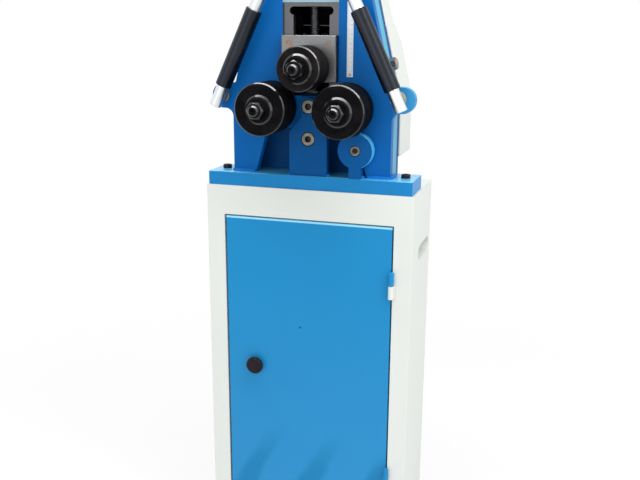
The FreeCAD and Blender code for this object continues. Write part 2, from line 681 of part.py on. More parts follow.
def bracket_screws():
    """The bracket's two sunk screws: the lower has a nut behind it, the upper enters the plate."""
    lower_z, upper_z = BRACKET_SCREWS_Z
    lower = sunk_screw(BRACKET_SCREW_RADIUS, BRACKET_SCREW_HEAD, BRACKET_SINK_DEPTH,
                       Vector(0, BRACKET_FRONT, lower_z), PLATE_FRONT + BRACKET_NUT_LENGTH + 2.0)
    nut = hex_head(BRACKET_NUT_FLATS, Vector(0, PLATE_FRONT, lower_z), ALONG_Y, BRACKET_NUT_LENGTH, 0)
    upper = sunk_screw(BRACKET_SCREW_RADIUS, BRACKET_SCREW_HEAD, BRACKET_SINK_DEPTH,
                       Vector(0, BRACKET_FRONT, upper_z), PLATE_FRONT + 14.0)
    return [lower.fuse(nut), upper]


def guide_lug():
    """The round lug on a neck at the right of the base, hollowed where the roller passes."""
    disc = rod_y(LUG_RADIUS, LUG_X, LUG_Z, BASE_FRONT, PLATE_FRONT)
    neck = block((LUG_X - LUG_NECK_HALF_WIDTH, LUG_X + LUG_NECK_HALF_WIDTH), (BASE_FRONT, PLATE_FRONT),
                 (BASE_THICKNESS, LUG_Z))
    lug = disc.fuse(neck).removeSplitter()
    lug = lug.cut(rod_y(LOWER_RADIUS + 2.0, LOWER_X, LOWER_Z, 0, LOWER_ROLLER_BACK + 2.0))
    lug = lug.cut(rod_y(LUG_SINK_RADIUS, LUG_X, LUG_Z, 0, BASE_FRONT + LUG_SINK_DEPTH))
    return lug.cut(rod_y(LUG_SCREW_RADIUS, LUG_X, LUG_Z, 0, PLATE_FRONT + 1))


def lug_screw():
    """The socket screw sunk in the lug."""
    return sunk_screw(LUG_SCREW_RADIUS, LUG_SCREW_HEAD, LUG_SINK_DEPTH, Vector(LUG_X, BASE_FRONT, LUG_Z),
                      PLATE_FRONT)


def rule_holes():
    """The places of the rule's two screws."""
    middle = sum(RULE_X) / 2.0
    return [(middle, RULE_Z[0] + RULE_HOLE_INSET), (middle, RULE_Z[1] - RULE_HOLE_INSET)]


def scale_rule():
    """The steel rule on the front plate, with a hole at each end."""
    rule = block(RULE_X, (PLATE_FRONT - RULE_THICKNESS, PLATE_FRONT), RULE_Z)
    for x, z in rule_holes():
        rule = rule.cut(rod_y(2.0, x, z, 0, PLATE_FRONT + 1))
    return rule


def scale_screws():
    """The two small screws that hold the rule."""
    screws = []
    for x, z in rule_holes():
        profile = [(0, -1.2), (2.4, -1.2), (3.2, 0), (2.0, 0), (2.0, RULE_THICKNESS), (0, RULE_THICKNESS)]
        screws.append(turned(profile, Vector(x, PLATE_FRONT - RULE_THICKNESS, z), ALONG_Y))
    return screws


def top_cap():
    """The crosshead over both plates, which carries the feed nut."""
    half_width = frame_half_width(FRAME_TOP)
    cap = block((-half_width, half_width), (PLATE_FRONT, REAR_PLATE_BACK), (FRAME_TOP, CAP_TOP))
    cap = cap.makeChamfer(CAP_BEVEL, [edge for edge in cap.Edges if edge.BoundBox.ZMin > CAP_TOP - 0.1])
    cap = cap.fuse(rod_z(CAP_BOSS_RADIUS, 0, SCREW_Y, CAP_TOP - 1, CAP_TOP + CAP_BOSS))
    cap = cap.cut(rod_z(FEED_NUT_RADIUS, 0, SCREW_Y, FRAME_TOP - 1, CAP_TOP + CAP_BOSS + 1))
    for side in (-1, 1):
        for y in CAP_SCREWS_Y:
            cap = cap.cut(rod_z(CAP_SCREW_RADIUS, side * CAP_SCREW_X, y, FRAME_TOP - 1, CAP_TOP + 1))
    return cap


def feed_nut():
    """The flanged bronze nut of the feed screw."""
    top = CAP_TOP + CAP_BOSS
    bore = SCREW_RADIUS + RUNNING_FIT
    flange_top = top + FEED_NUT_FLANGE
    profile = [(bore, FRAME_TOP), (FEED_NUT_RADIUS, FRAME_TOP), (FEED_NUT_RADIUS, top),
               (FEED_NUT_FLANGE_RADIUS, top), (FEED_NUT_FLANGE_RADIUS, flange_top), (bore, flange_top)]
    return turned(profile, Vector(0, SCREW_Y, 0), ALONG_Z)


# ---- Slide block and feed screw ----

def keeper_screw_places():
    """The four (x, z) places of the keeper's screws."""
    heights = (SLIDE_BOTTOM + KEEPER_SCREW_INSET, SLIDE_BODY_TOP - KEEPER_SCREW_INSET)
    return [(side * KEEPER_SCREW_X, z) for side in (-1, 1) for z in heights]


def slide_block():
    """The T-shaped block: a wide head in the recess and a body through both windows."""
    head = block((-SLIDE_HALF_WIDTH, SLIDE_HALF_WIDTH),
                 (SLIDE_FRONT, PLATE_FRONT + RECESS_DEPTH - SLIDE_PLAY), (SLIDE_BOTTOM, SLIDE_TOP))
    head = head.makeChamfer(1.5, [edge for edge in head.Edges if edge.BoundBox.YMax < SLIDE_FRONT + 0.1])
    body = block((-WINDOW_HALF_WIDTH + SLIDE_PLAY, WINDOW_HALF_WIDTH - SLIDE_PLAY),
                 (PLATE_FRONT, KEEPER_FRONT), (SLIDE_BOTTOM, SLIDE_BODY_TOP))
    slide = head.fuse(body).removeSplitter()
    slide = slide.cut(rod_y(BUSH_RADIUS, 0, UPPER_Z, 0, KEEPER_FRONT + 1))
    slide = slide.cut(rod_z(POCKET_RADIUS, 0, SCREW_Y, POCKET_BOTTOM, SLIDE_BODY_TOP + 1))
    for side in (-1, 1):
        slide = slide.cut(rod_y(SLIDE_SCREW_HEAD, side * SLIDE_SCREW_X, SLIDE_SCREW_Z, 0, SLIDE_FRONT + 12))
    return slide


def slide_keeper():
    """The plate behind the rear window that holds the block in its guides."""
    keeper = plate([(-KEEPER_HALF_WIDTH, SLIDE_BOTTOM, 4), (KEEPER_HALF_WIDTH, SLIDE_BOTTOM, 4),
                    (KEEPER_HALF_WIDTH, SLIDE_BODY_TOP, 4), (-KEEPER_HALF_WIDTH, SLIDE_BODY_TOP, 4)],
                   KEEPER_FRONT, KEEPER_BACK)
    keeper = keeper.cut(rod_y(BUSH_RADIUS, 0, UPPER_Z, 0, KEEPER_BACK + 1))
    for x, z in keeper_screw_places():
        keeper = keeper.cut(rod_y(KEEPER_SCREW_RADIUS, x, z, 0, KEEPER_BACK + 1))
    return keeper


def slide_screws():
    """The small screws of the slide: two flush in its face, four behind the keeper."""
    screws = [
        rod_y(SLIDE_SCREW_HEAD, side * SLIDE_SCREW_X, SLIDE_SCREW_Z, SLIDE_FRONT + 0.4, SLIDE_FRONT + 12.0)
        for side in (-1, 1)
    ]
    for x, z in keeper_screw_places():
        head = rod_y(1.5 * KEEPER_SCREW_RADIUS, x, z, KEEPER_BACK, KEEPER_BACK + 5.0)
        screws.append(head.fuse(rod_y(KEEPER_SCREW_RADIUS, x, z, KEEPER_FRONT, KEEPER_BACK)))
    return screws


def upper_bush():
    """The long bronze bush of the upper shaft."""
    bore = SHAFT_RADIUS + RUNNING_FIT
    profile = [(bore, SLIDE_FRONT), (BUSH_RADIUS, SLIDE_FRONT), (BUSH_RADIUS, KEEPER_BACK),
               (BUSH_FLANGE_RADIUS - 2.0, KEEPER_BACK), (BUSH_FLANGE_RADIUS - 2.0, KEEPER_BACK + BUSH_FLANGE),
               (bore, KEEPER_BACK + BUSH_FLANGE)]
    return turned(profile, Vector(0, 0, UPPER_Z), ALONG_Y)


def feed_screw():
    """The trapezoidal feed screw with the collar that sits in the slide's pocket."""
    foot = POCKET_BOTTOM + END_PLAY
    collar_top = SLIDE_BODY_TOP - END_PLAY
    spigot = STAR_Z - STAR_HUB_HALF_HEIGHT
    end = STAR_Z + STAR_HUB_HALF_HEIGHT + 4.0
    profile = [(0, foot), (POCKET_RADIUS - 0.5, foot), (POCKET_RADIUS - 0.5, collar_top),
               (SCREW_RADIUS, collar_top), (SCREW_RADIUS, spigot), (SCREW_SPIGOT_RADIUS, spigot),
               (SCREW_SPIGOT_RADIUS, end), (0, end)]
    return turned(profile, Vector(0, SCREW_Y, 0), ALONG_Z)


def screw_retainer():
    """Two half plates on the block that hold the screw's collar in its pocket."""
    half = block((END_PLAY, 34.0), (PLATE_BACK + 1.5, REAR_PLATE_FRONT - 1.5), (SLIDE_BODY_TOP, SLIDE_TOP))
    half = half.cut(rod_z(SCREW_RADIUS + END_PLAY, 0, SCREW_Y, SLIDE_BODY_TOP - 1, SLIDE_TOP + 1))
    half = half.fuse(rod_z(5.0, 25.0, SCREW_Y, SLIDE_TOP, SLIDE_TOP + 4.0))
    return [half, mirrored(half)]


def star_turns():
    """The angles of the star handle's arms."""
    return [math.radians(45.0 + 360.0 * arm / STAR_ARMS) for arm in range(STAR_ARMS)]


def star_arm_ends(turn):
    """The two ends of one arm of the star handle."""
    direction = Vector(math.cos(turn), math.sin(turn), 0)
    centre = Vector(0, SCREW_Y, STAR_Z)
    return centre + direction * 20.0, centre + direction * STAR_ARM_LENGTH


def star_hub():
    """The hub of the star handle with a socket for each arm, and the domed nut that holds it."""
    half = STAR_HUB_HALF_HEIGHT
    place = Vector(0, SCREW_Y, STAR_Z)
    rim = STAR_HUB_RADIUS - STAR_HUB_BEVEL
    hub = turned([(SCREW_SPIGOT_RADIUS, -half), (rim, -half), (STAR_HUB_RADIUS, -half + STAR_HUB_BEVEL),
                  (STAR_HUB_RADIUS, half - STAR_HUB_BEVEL), (rim, half), (SCREW_SPIGOT_RADIUS, half)],
                 place, ALONG_Z)
    for turn in star_turns():
        hub = hub.cut(rod(STAR_ARM_RADIUS, *star_arm_ends(turn)))
    dome = half + 15.0
    nut = turned([(SCREW_SPIGOT_RADIUS, half), (STAR_NUT_RADIUS, half), (STAR_NUT_RADIUS, dome - 6.0),
                  (STAR_NUT_RADIUS - 6.0, dome), (0, dome), (0, half + 4.0),
                  (SCREW_SPIGOT_RADIUS, half + 4.0)], place, ALONG_Z)
    return [hub, nut]


def star_arms():
    """The four arms of the star handle."""
    return [rod(STAR_ARM_RADIUS, *star_arm_ends(turn)) for turn in star_turns()]


def star_knobs():
    """The egg-shaped knobs at the arms' ends."""
    knobs = []
    for turn in star_turns():
        start, end = star_arm_ends(turn)
        profile = [(STAR_ARM_RADIUS, STAR_KNOB_START), (STAR_ARM_RADIUS + 3.0, STAR_KNOB_START),
                   (STAR_KNOB_RADIUS, 0), (STAR_KNOB_RADIUS - 1.0, STAR_KNOB_END / 2.0),
                   (9.0, STAR_KNOB_END - 2.0), (0, STAR_KNOB_END), (0, 0), (STAR_ARM_RADIUS, 0)]
        knobs.append(turned(profile, end, (end - start).normalize()))
    return knobs


# ---- Rollers and shafts ----

def shaft_end(x, z):
    """The front end of a roller shaft: thread, chamfered tip and centre hole."""
    tip = NUT_FRONT - TIP_LENGTH
    profile = [
        (0, tip + 5.0), (4.0, tip), (THREAD_RADIUS - 3.0, tip), (THREAD_RADIUS, tip + 3.0),
        (THREAD_RADIUS, COLLAR_FRONT), (SHAFT_RADIUS, COLLAR_FRONT), (SHAFT_RADIUS, ROLLER_FRONT),
        (0, ROLLER_FRONT),
    ]
    return turned(profile, Vector(x, 0, z), ALONG_Y)


def roller_shaft(x, z, shoulder, shoulder_end, back):
    """A roller shaft with its shoulder, and the key that drives the rings."""
    shaft = shaft_end(x, z).fuse(rod_y(SHAFT_RADIUS, x, z, ROLLER_FRONT, back))
    shaft = shaft.fuse(rod_y(SHOULDER_RADIUS, x, z, shoulder, shoulder_end)).removeSplitter()
    key = block((x - KEY_HALF_WIDTH, x + KEY_HALF_WIDTH), (ROLLER_FRONT + 4.0, shoulder - 4.0),
                (z + SHAFT_RADIUS - 4.0, z + KEY_TOP))
    return [shaft.cut(key), key]


def roller_rings(radius, widths, groove, x, z):
    """The stack of hardened rings. With a groove, the second ring is a narrow spacer that much smaller."""
    keyway = block((x - KEY_HALF_WIDTH, x + KEY_HALF_WIDTH), (ROLLER_FRONT - 1, LOWER_ROLLER_BACK + 1),
                   (z, z + KEY_TOP + END_PLAY))
    rings = []
    front = ROLLER_FRONT
    for index, width in enumerate(widths):
        is_spacer = groove and index == 1
        outer = radius - groove if is_spacer else radius
        bevel = SPACER_BEVEL if is_spacer else RING_BEVEL
        rings.append(ring(outer, SHAFT_RADIUS, front, front + width, bevel, x, z))
        front += width
    return [piece.cut(keyway) for piece in rings]


def roller_collar(x, z):
    """The bevelled collar between the roller and its nut."""
    profile = [(SHAFT_RADIUS, COLLAR_FRONT), (COLLAR_FRONT_RADIUS, COLLAR_FRONT),
               (COLLAR_RADIUS, COLLAR_FRONT + COLLAR_BEVEL), (COLLAR_RADIUS, ROLLER_FRONT),
               (SHAFT_RADIUS, ROLLER_FRONT)]
    return turned(profile, Vector(x, 0, z), ALONG_Y)


def roller_nut(x, z, turn):
    """The hexagon nut on the shaft's thread."""
    return hex_head(NUT_FLATS, Vector(x, COLLAR_FRONT, z), -ALONG_Y, NUT_LENGTH, THREAD_RADIUS, turn)


def gear(teeth, front, back, bore, x, z, turn):
    """A spur gear along Y with straight-sided teeth; turn sets the angle of one tooth."""
    pitch = MODULE * teeth / 2.0
    tooth = 2.0 * math.pi / teeth
    flank = [(-1.25, 0.30), (-0.9, 0.28), (0.0, 0.235), (1.0, 0.12)]
    points = []
    for index in range(teeth):
        middle = turn + tooth * index
        sides = [(height, -half) for height, half in flank]
        sides += [(height, half) for height, half in reversed(flank)]
        for height, share in sides:
            radius = pitch + MODULE * height
            angle = middle + tooth * share
            points.append(Vector(x + radius * math.cos(angle), front, z + radius * math.sin(angle)))
    face = Part.Face(Part.makePolygon(points + [points[0]]))
    body = face.extrude(Vector(0, back - front, 0))
    return body.cut(rod_y(bore, x, z, front - 1, back + 1)) if bore else body


def mesh_angle():
    """The angle of the line from the pinion to the right roller gear."""
    return math.atan2(LOWER_Z - PINION_Z, LOWER_X)


def tooth_offset(side):
    """The share of a pitch by which the pinion's nearest tooth misses the line to one roller gear."""
    turn_between = 0.0 if side > 0 else math.pi - 2.0 * mesh_angle()
    pitches = turn_between * PINION_TEETH / (2.0 * math.pi)
    return pitches - round(pitches)


def roller_gear(side):
    """A roller shaft's gear with its spacer hub, turned so that a tooth space takes the pinion's tooth."""
    x = side * LOWER_X
    line = math.pi + mesh_angle() if side > 0 else -mesh_angle()
    turn = line + (tooth_offset(side) + 0.5) * 2.0 * math.pi / ROLLER_TEETH
    body = gear(ROLLER_TEETH, GEAR_FRONT, GEAR_BACK, SHAFT_RADIUS, x, LOWER_Z, turn)
    hub = rod_y(GEAR_HUB_RADIUS, x, LOWER_Z, REAR_PLATE_BACK + BUSH_FLANGE + END_PLAY, GEAR_FRONT + 1.0)
    hub = hub.cut(rod_y(SHAFT_RADIUS, x, LOWER_Z, REAR_PLATE_BACK, GEAR_FRONT + 2))
    web = rod_y(GEAR_RADIUS - 12.0, x, LOWER_Z, GEAR_BACK - 7.0, GEAR_BACK + 1.0)
    web = web.cut(rod_y(GEAR_HUB_RADIUS + 8.0, x, LOWER_Z, GEAR_BACK - 7.0, GEAR_BACK + 1.0))
    return body.fuse(hub).cut(web)


def drive_pinion():
    """The drive shaft with its pinion, one tooth of which points at the right roller gear."""
    shaft = rod_y(SHAFT_RADIUS, 0, PINION_Z, REAR_PLATE_FRONT + 1.0, GEARBOX_BACK - 8.0)
    teeth = gear(PINION_TEETH, GEAR_FRONT - 2.0, GEAR_BACK + 2.0, 0, 0, PINION_Z, mesh_angle())
    return teeth.fuse(shaft)


def flanged_bush(x, z, front, back, flange_front):
    """A bronze bush with its flange at the front or at the back."""
    bore = SHAFT_RADIUS + RUNNING_FIT
    bush = rod_y(BUSH_RADIUS, x, z, front, back)
    flange = rod_y(BUSH_FLANGE_RADIUS, x, z, flange_front, flange_front + BUSH_FLANGE)
    return bush.fuse(flange).cut(rod_y(bore, x, z, front - 9, back + 9))


def plate_bushes():
    """The five equal bushes: two for each lower roller shaft and one for the drive shaft."""
    bushes = [flanged_bush(0, PINION_Z, REAR_PLATE_FRONT, REAR_PLATE_BACK, REAR_PLATE_BACK)]
    for x in (-LOWER_X, LOWER_X):
        bushes.append(flanged_bush(x, LOWER_Z, PLATE_FRONT, PLATE_BACK, PLATE_FRONT - BUSH_FLANGE))
        bushes.append(flanged_bush(x, LOWER_Z, REAR_PLATE_FRONT, REAR_PLATE_BACK, REAR_PLATE_BACK))
    return bushes


def upper_shaft_ring():
    """The slotted nut that keeps the upper shaft from sliding forward."""
    front = KEEPER_BACK + BUSH_FLANGE + END_PLAY
    nut = ring(SHAFT_RING_RADIUS, SHAFT_RADIUS, front, front + SHAFT_RING_LENGTH, 1.0, 0, UPPER_Z)
    for turn in range(4):
        slot = block((-SHAFT_RING_SLOT_HALF, SHAFT_RING_SLOT_HALF),
                     (front - 1, front + SHAFT_RING_LENGTH + 2),
                     (SHAFT_RING_SLOT_FLOOR, SHAFT_RING_RADIUS + 3))
        slot.rotate(Vector(0, 0, 0), ALONG_Y, 90 * turn)
        slot.translate(Vector(0, 0, UPPER_Z))
        nut = nut.cut(slot)
    return nut


# ---- Gear case, cover and drive ----

def hood(outline, profile, wall):
    """The space inside a front outline of (x, z) points and a side profile of (y, z), each set in by wall."""
    far = 2.0 * CABINET_WIDTH
    front_points = [Vector(x, 0, z) for x, z in outline]
    side_points = [Vector(-far, y, z) for y, z in profile]
    faces = [Part.Face(Part.makePolygon(points + points[:1])) for points in (front_points, side_points)]
    if wall:
        faces = [face.makeOffset2D(-wall) for face in faces]
    return faces[0].extrude(Vector(0, far, 0)).common(faces[1].extrude(Vector(2.0 * far, 0, 0)))


def hood_outline(bottom, top, lip):
    """The machine's outline between two heights, wider than its frame by lip."""
    right = [(frame_half_width(z) + lip, z) for z in (bottom, max(bottom, SLOPE_START), top)]
    if bottom >= SLOPE_START:
        right = right[1:]
    return right + [(-x, z) for x, z in reversed(right)]


def case_profile(front):
    """The gear case from the side: upright back with a slanted upper edge."""
    top = CASE_SEAM - SEAM_GAP
    return [(front, CASE_BOTTOM), (CASE_BACK, CASE_BOTTOM), (CASE_BACK, CASE_BEVEL_START),
            (CASE_SEAM_BACK, top), (front, top)]


def cover_profile(front, bottom):
    """The upper cover from the side: its back slopes forward and then stands upright."""
    lean = (COVER_SEAM_BACK - COVER_BACK) / (COVER_SLOPE_END - CASE_SEAM)
    bottom_back = COVER_SEAM_BACK + lean * (CASE_SEAM - bottom)
    return [(front, bottom), (bottom_back, bottom), (COVER_BACK, COVER_SLOPE_END), (COVER_BACK, COVER_TOP),
            (front, COVER_TOP)]


def gear_case():
    """The gear case: walls open to the rear plate with a mouth up into the cover, and a flat back panel."""
    outline = hood_outline(CASE_BOTTOM, CASE_SEAM - SEAM_GAP, CASE_LIP)
    case = hood(outline, case_profile(REAR_PLATE_BACK), 0)
    case = case.cut(hood(outline, case_profile(REAR_PLATE_BACK - 1 - CASE_WALL), CASE_WALL))
    mouth_half = frame_half_width(CASE_SEAM) - 12.0
    case = case.cut(block((-mouth_half, mouth_half), (REAR_PLATE_BACK - 1, CASE_SEAM_BACK - 12.0),
                          (CASE_SEAM - 8, CASE_SEAM)))
    case = case.cut(rod_y(GEAR_HUB_RADIUS, 0, PINION_Z, CASE_BACK - 8, CASE_BACK + 1))
    everywhere = (-CABINET_WIDTH, CABINET_WIDTH)
    inner_back = CASE_BACK - CASE_WALL
    walls = case.common(block(everywhere, (0, inner_back), everywhere))
    panel = case.common(block(everywhere, (inner_back, CASE_BACK), everywhere))
    return [walls, panel]


def upper_cover():
    """The sheet cover above the gear case, open downwards and to the rear plate."""
    below = CASE_SEAM - SHEET - 1
    cover = hood(hood_outline(CASE_SEAM, COVER_TOP, COVER_LIP), cover_profile(REAR_PLATE_BACK, CASE_SEAM), 0)
    return cover.cut(hood(hood_outline(below, COVER_TOP, COVER_LIP),
                          cover_profile(REAR_PLATE_BACK - 1 - SHEET, below), SHEET))


def gearbox_housing():
    """The worm gearbox behind the case: wheel housing, crossing worm housing and motor flange."""
    foot_radius = WHEEL_NECK_RADIUS + 6.0
    flange_radius = MOTOR_RADIUS + FLANGE_OVERHANG
    wheel = turned([(0, CASE_BACK), (foot_radius, CASE_BACK), (foot_radius, CASE_BACK + 10),
                    (WHEEL_NECK_RADIUS, CASE_BACK + 14), (WHEEL_NECK_RADIUS, WORM_Y - 44),
                    (WHEEL_HOUSING_RADIUS, WORM_Y - 36), (WHEEL_HOUSING_RADIUS, WORM_Y + 30),
                    (WHEEL_HOUSING_RADIUS - 8.0, WORM_Y + 38), (30.0, WORM_Y + 40), (30.0, GEARBOX_BACK),
                    (0, GEARBOX_BACK)], Vector(0, 0, PINION_Z), ALONG_Y)
    worm = rod_z(WORM_HOUSING_RADIUS, WORM_OFFSET, WORM_Y, PINION_Z - 62.0, PINION_Z + 66.0)
    flange = turned([(0, 0), (50.0, 0), (flange_radius, 8.0), (flange_radius, 20.0), (0, 20.0)],
                    Vector(WORM_OFFSET, WORM_Y, PINION_Z + 60.0), ALONG_Z)
    foot = rod_z(26.0, WORM_OFFSET, WORM_Y, PINION_Z - 68.0, PINION_Z - 60.0)
    body = wheel.multiFuse([worm, flange, foot])
    bore = SHAFT_RADIUS + RUNNING_FIT
    return body.cut(rod_y(bore, 0, PINION_Z, CASE_BACK - 1, GEARBOX_BACK - 7.5))


def drive_motor():
    """The upright motor: finned body, terminal box and fan cover."""
    bottom = PINION_Z + 80.0
    fan = MOTOR_TOP - FAN_COVER_LENGTH
    body_radius = MOTOR_RADIUS - FIN_HEIGHT
    flange_radius = MOTOR_RADIUS + FLANGE_OVERHANG
    body = turned([(0, bottom), (flange_radius, bottom), (flange_radius, bottom + 12.0),
                   (body_radius, bottom + 12.0), (body_radius, fan), (MOTOR_RADIUS + 2.0, fan),
                   (MOTOR_RADIUS + 2.0, MOTOR_TOP - 8.0), (body_radius, MOTOR_TOP), (0, MOTOR_TOP)],
                  Vector(WORM_OFFSET, WORM_Y, 0), ALONG_Z)
    fins = []
    for fin in range(MOTOR_FINS):
        rib = block((body_radius - 4.0, MOTOR_RADIUS), (-FIN_HALF_THICKNESS, FIN_HALF_THICKNESS),
                    (bottom + 11.0, fan + 1.0))
        rib.rotate(Vector(0, 0, 0), ALONG_Z, 360.0 * fin / MOTOR_FINS)
        rib.translate(Vector(WORM_OFFSET, WORM_Y, 0))
        fins.append(rib)
    box = block((WORM_OFFSET - TERMINAL_BOX_HALF_WIDTH, WORM_OFFSET + TERMINAL_BOX_HALF_WIDTH),
                (WORM_Y + 40, WORM_Y + TERMINAL_BOX_BACK), (bottom + 30, bottom + 100))
    box = box.makeChamfer(3.0, box.Edges)
    return body.multiFuse(fins + [box])


# ---- Side levers ----

def on_lever(distance):
    """The point of the right lever's centre line at one distance from its lower end."""
    return Vector(LEVER_LOW_X - distance * math.sin(LEVER_TILT), LEVER_Y,
                  LEVER_LOW_Z + distance * math.cos(LEVER_TILT))


def lever_tube():
    """The lever's round bar with chamfered ends and the hole for its pin."""
    end = LEVER_LENGTH
    rim = 1.5
    profile = [(0, 0), (LEVER_RADIUS - rim, 0), (LEVER_RADIUS, rim), (LEVER_RADIUS, end - rim),
               (LEVER_RADIUS - rim, end), (0, end)]
    bar = turned(profile, on_lever(0), on_lever(end) - on_lever(0))
    return bar.cut(rod_y(PIN_RADIUS, LEVER_PIVOT_X, LEVER_PIVOT_Z, LEVER_Y, PLATE_FRONT))


def lever_grip():
    """The foam grip on the lever."""
    bulge = 1.2
    end = GRIP_LENGTH
    profile = [(LEVER_RADIUS, 0), (GRIP_RADIUS - bulge, 0), (GRIP_RADIUS, bulge), (GRIP_RADIUS, end - bulge),
               (GRIP_RADIUS - bulge, end), (LEVER_RADIUS, end)]
    return turned(profile, on_lever(GRIP_START), on_lever(1) - on_lever(0))


def lever_pin():
    """The lever's shoulder pin: broad washer and sleeve before the ear, washer and nut behind it."""
    x = LEVER_PIVOT_X
    z = LEVER_PIVOT_Z
    washer_front = LEVER_Y + LEVER_RADIUS + END_PLAY
    behind = PLATE_BACK + END_PLAY
    pin = rod_y(PIN_RADIUS, x, z, LEVER_Y, behind + 16.0)
    washer = rod_y(PIN_WASHER_RADIUS, x, z, washer_front, washer_front + PIN_WASHER_THICKNESS)
    sleeve = rod_y(PIN_SLEEVE_RADIUS, x, z, washer_front, PLATE_FRONT - END_PLAY)
    nut_base = behind + PIN_BACK_WASHER_THICKNESS
    back_washer = rod_y(PIN_BACK_WASHER_RADIUS, x, z, behind, nut_base)
    nut = hex_head(PIN_NUT_FLATS, Vector(x, nut_base, z), ALONG_Y, PIN_NUT_LENGTH, 0)
    return pin.multiFuse([washer, sleeve, back_washer, nut])


# ---- Writing the nodes ----

def save_stand():
    """Cabinet, door and machine frame."""
    save("cabinet_front", [cabinet_front()])
    save("cabinet_sides", [cabinet_side(), mirrored(cabinet_side())])
    save("cabinet_panels", cabinet_panels())
    save("cabinet_door", [cabinet_door()])
    save("door_hinge_halves", door_hinge_halves())
    save("cabinet_hinge_halves", cabinet_hinge_halves())
    save("hinge_pins", hinge_pins())
    save("door_knob", [door_knob()])
    save("door_latch_cam", [door_latch_cam()])
    save("base_plate", [base_plate()])
    save("black_screws", black_screws())
    save("front_plate", [front_plate()])
    save("rear_plate", [rear_plate()])
    save("left_side_wall", [mirrored(side_wall())])
    save("right_side_wall", [side_wall()])
    save("side_bolts", side_bolts())
    save("centre_bracket", [centre_bracket()])
    save("bracket_screws", bracket_screws())
    save("guide_lug", [guide_lug()])
    save("lug_screw", [lug_screw()])
    save("scale_rule", [scale_rule()])
    save("scale_screws", scale_screws())
    save("top_cap", [top_cap()])
    save("feed_nut", [feed_nut()])


def save_slide():
    """Slide block, feed screw and star handle."""
    save("slide_block", [slide_block()])
    save("slide_keeper", [slide_keeper()])
    save("slide_screws", slide_screws())
    save("upper_bush", [upper_bush()])
    save("feed_screw", [feed_screw()])
    save("screw_retainer", screw_retainer())
    save("star_hub", star_hub())
    save("star_arms", star_arms())
    save("star_knobs", star_knobs())


def save_rollers():
    """The three roller shafts with their rings, collars, nuts and gears."""
    upper_shoulder_end = SLIDE_FRONT - END_PLAY
    save("upper_shaft", roller_shaft(0, UPPER_Z, UPPER_ROLLER_BACK, upper_shoulder_end, KEEPER_BACK + 12.0))
    save("upper_rings", roller_rings(UPPER_RADIUS, UPPER_RING_WIDTHS, 0, 0, UPPER_Z))
    save("upper_collar", [roller_collar(0, UPPER_Z)])
    save("upper_nut", [roller_nut(0, UPPER_Z, 30.0)])
    save("upper_shaft_ring", [upper_shaft_ring()])
    shoulder_end = PLATE_FRONT - BUSH_FLANGE - END_PLAY
    for name, side in (("lower_left", -1), ("lower_right", 1)):
        x = side * LOWER_X
        save(name + "_shaft", roller_shaft(x, LOWER_Z, LOWER_ROLLER_BACK, shoulder_end, GEAR_BACK + 3.0))
        save(name + "_rings", roller_rings(LOWER_RADIUS, LOWER_RING_WIDTHS, RING_GROOVE, x, LOWER_Z))
        save(name + "_collar", [roller_collar(x, LOWER_Z)])
        save(name + "_nut", [roller_nut(x, LOWER_Z, 0.0)])
        save(name + "_gear", [roller_gear(side)])
    save("plate_bushes", plate_bushes())


def save_drive():
    """Pinion, gear case, cover, gearbox and motor."""
    save("drive_pinion", [drive_pinion()])
    save("gear_case", gear_case())
    save("upper_cover", [upper_cover()])
    save("gearbox_housing", [gearbox_housing()])
    save("drive_motor", [drive_motor()])


def save_levers():
    """Both side levers."""
    for name, draw in (("lever_tube", lever_tube), ("lever_grip", lever_grip), ("lever_pin", lever_pin)):
        shape = draw()
        save("left_" + name, [mirrored(shape)])
        save("right_" + name, [shape])


os.makedirs("parts", exist_ok=True)
save_stand()
save_slide()
save_rollers()
save_drive()
save_levers()
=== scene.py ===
import math

import bmesh
import bpy
import numpy as np
from bpy.props import FloatProperty, FloatVectorProperty, IntProperty, PointerProperty
from mathutils import Matrix, Vector


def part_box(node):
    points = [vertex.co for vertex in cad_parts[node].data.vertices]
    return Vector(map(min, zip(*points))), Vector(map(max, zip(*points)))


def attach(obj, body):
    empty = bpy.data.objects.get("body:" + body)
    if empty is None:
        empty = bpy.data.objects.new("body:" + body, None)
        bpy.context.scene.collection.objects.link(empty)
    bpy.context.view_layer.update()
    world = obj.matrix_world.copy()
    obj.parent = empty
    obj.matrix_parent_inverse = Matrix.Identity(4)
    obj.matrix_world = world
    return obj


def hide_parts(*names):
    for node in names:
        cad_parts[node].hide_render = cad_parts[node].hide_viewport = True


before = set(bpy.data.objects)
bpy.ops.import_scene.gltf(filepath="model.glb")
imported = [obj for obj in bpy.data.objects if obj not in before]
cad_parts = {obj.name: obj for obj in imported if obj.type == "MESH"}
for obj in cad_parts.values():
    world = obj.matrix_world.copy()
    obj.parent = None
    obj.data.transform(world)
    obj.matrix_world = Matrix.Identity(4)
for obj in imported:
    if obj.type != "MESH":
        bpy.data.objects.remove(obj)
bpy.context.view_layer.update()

bl_info = {
    "name": "Ring Roller Dressing",
    "version": (1, 0, 0),
    "blender": (4, 5, 0),
    "location": "View3D > Sidebar > Ring Roller",
    "description": "Finishes, welds, threads and rule markings of a ring roller on a cabinet",
    "category": "Object",
}

MM = 0.001


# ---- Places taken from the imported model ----

def middle(node):
    """The middle of a node's box."""
    low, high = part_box(node)
    return (Vector(low) + Vector(high)) / 2.0


def low_corner(node):
    """The lowest corner of a node's box."""
    return Vector(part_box(node)[0])


def high_corner(node):
    """The highest corner of a node's box."""
    return Vector(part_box(node)[1])


def half_height(node):
    """Half the height of a node's box: the radius of a turned piece."""
    low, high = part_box(node)
    return (high[2] - low[2]) / 2.0


# ---- Places of the machine, worked out from the frame ----

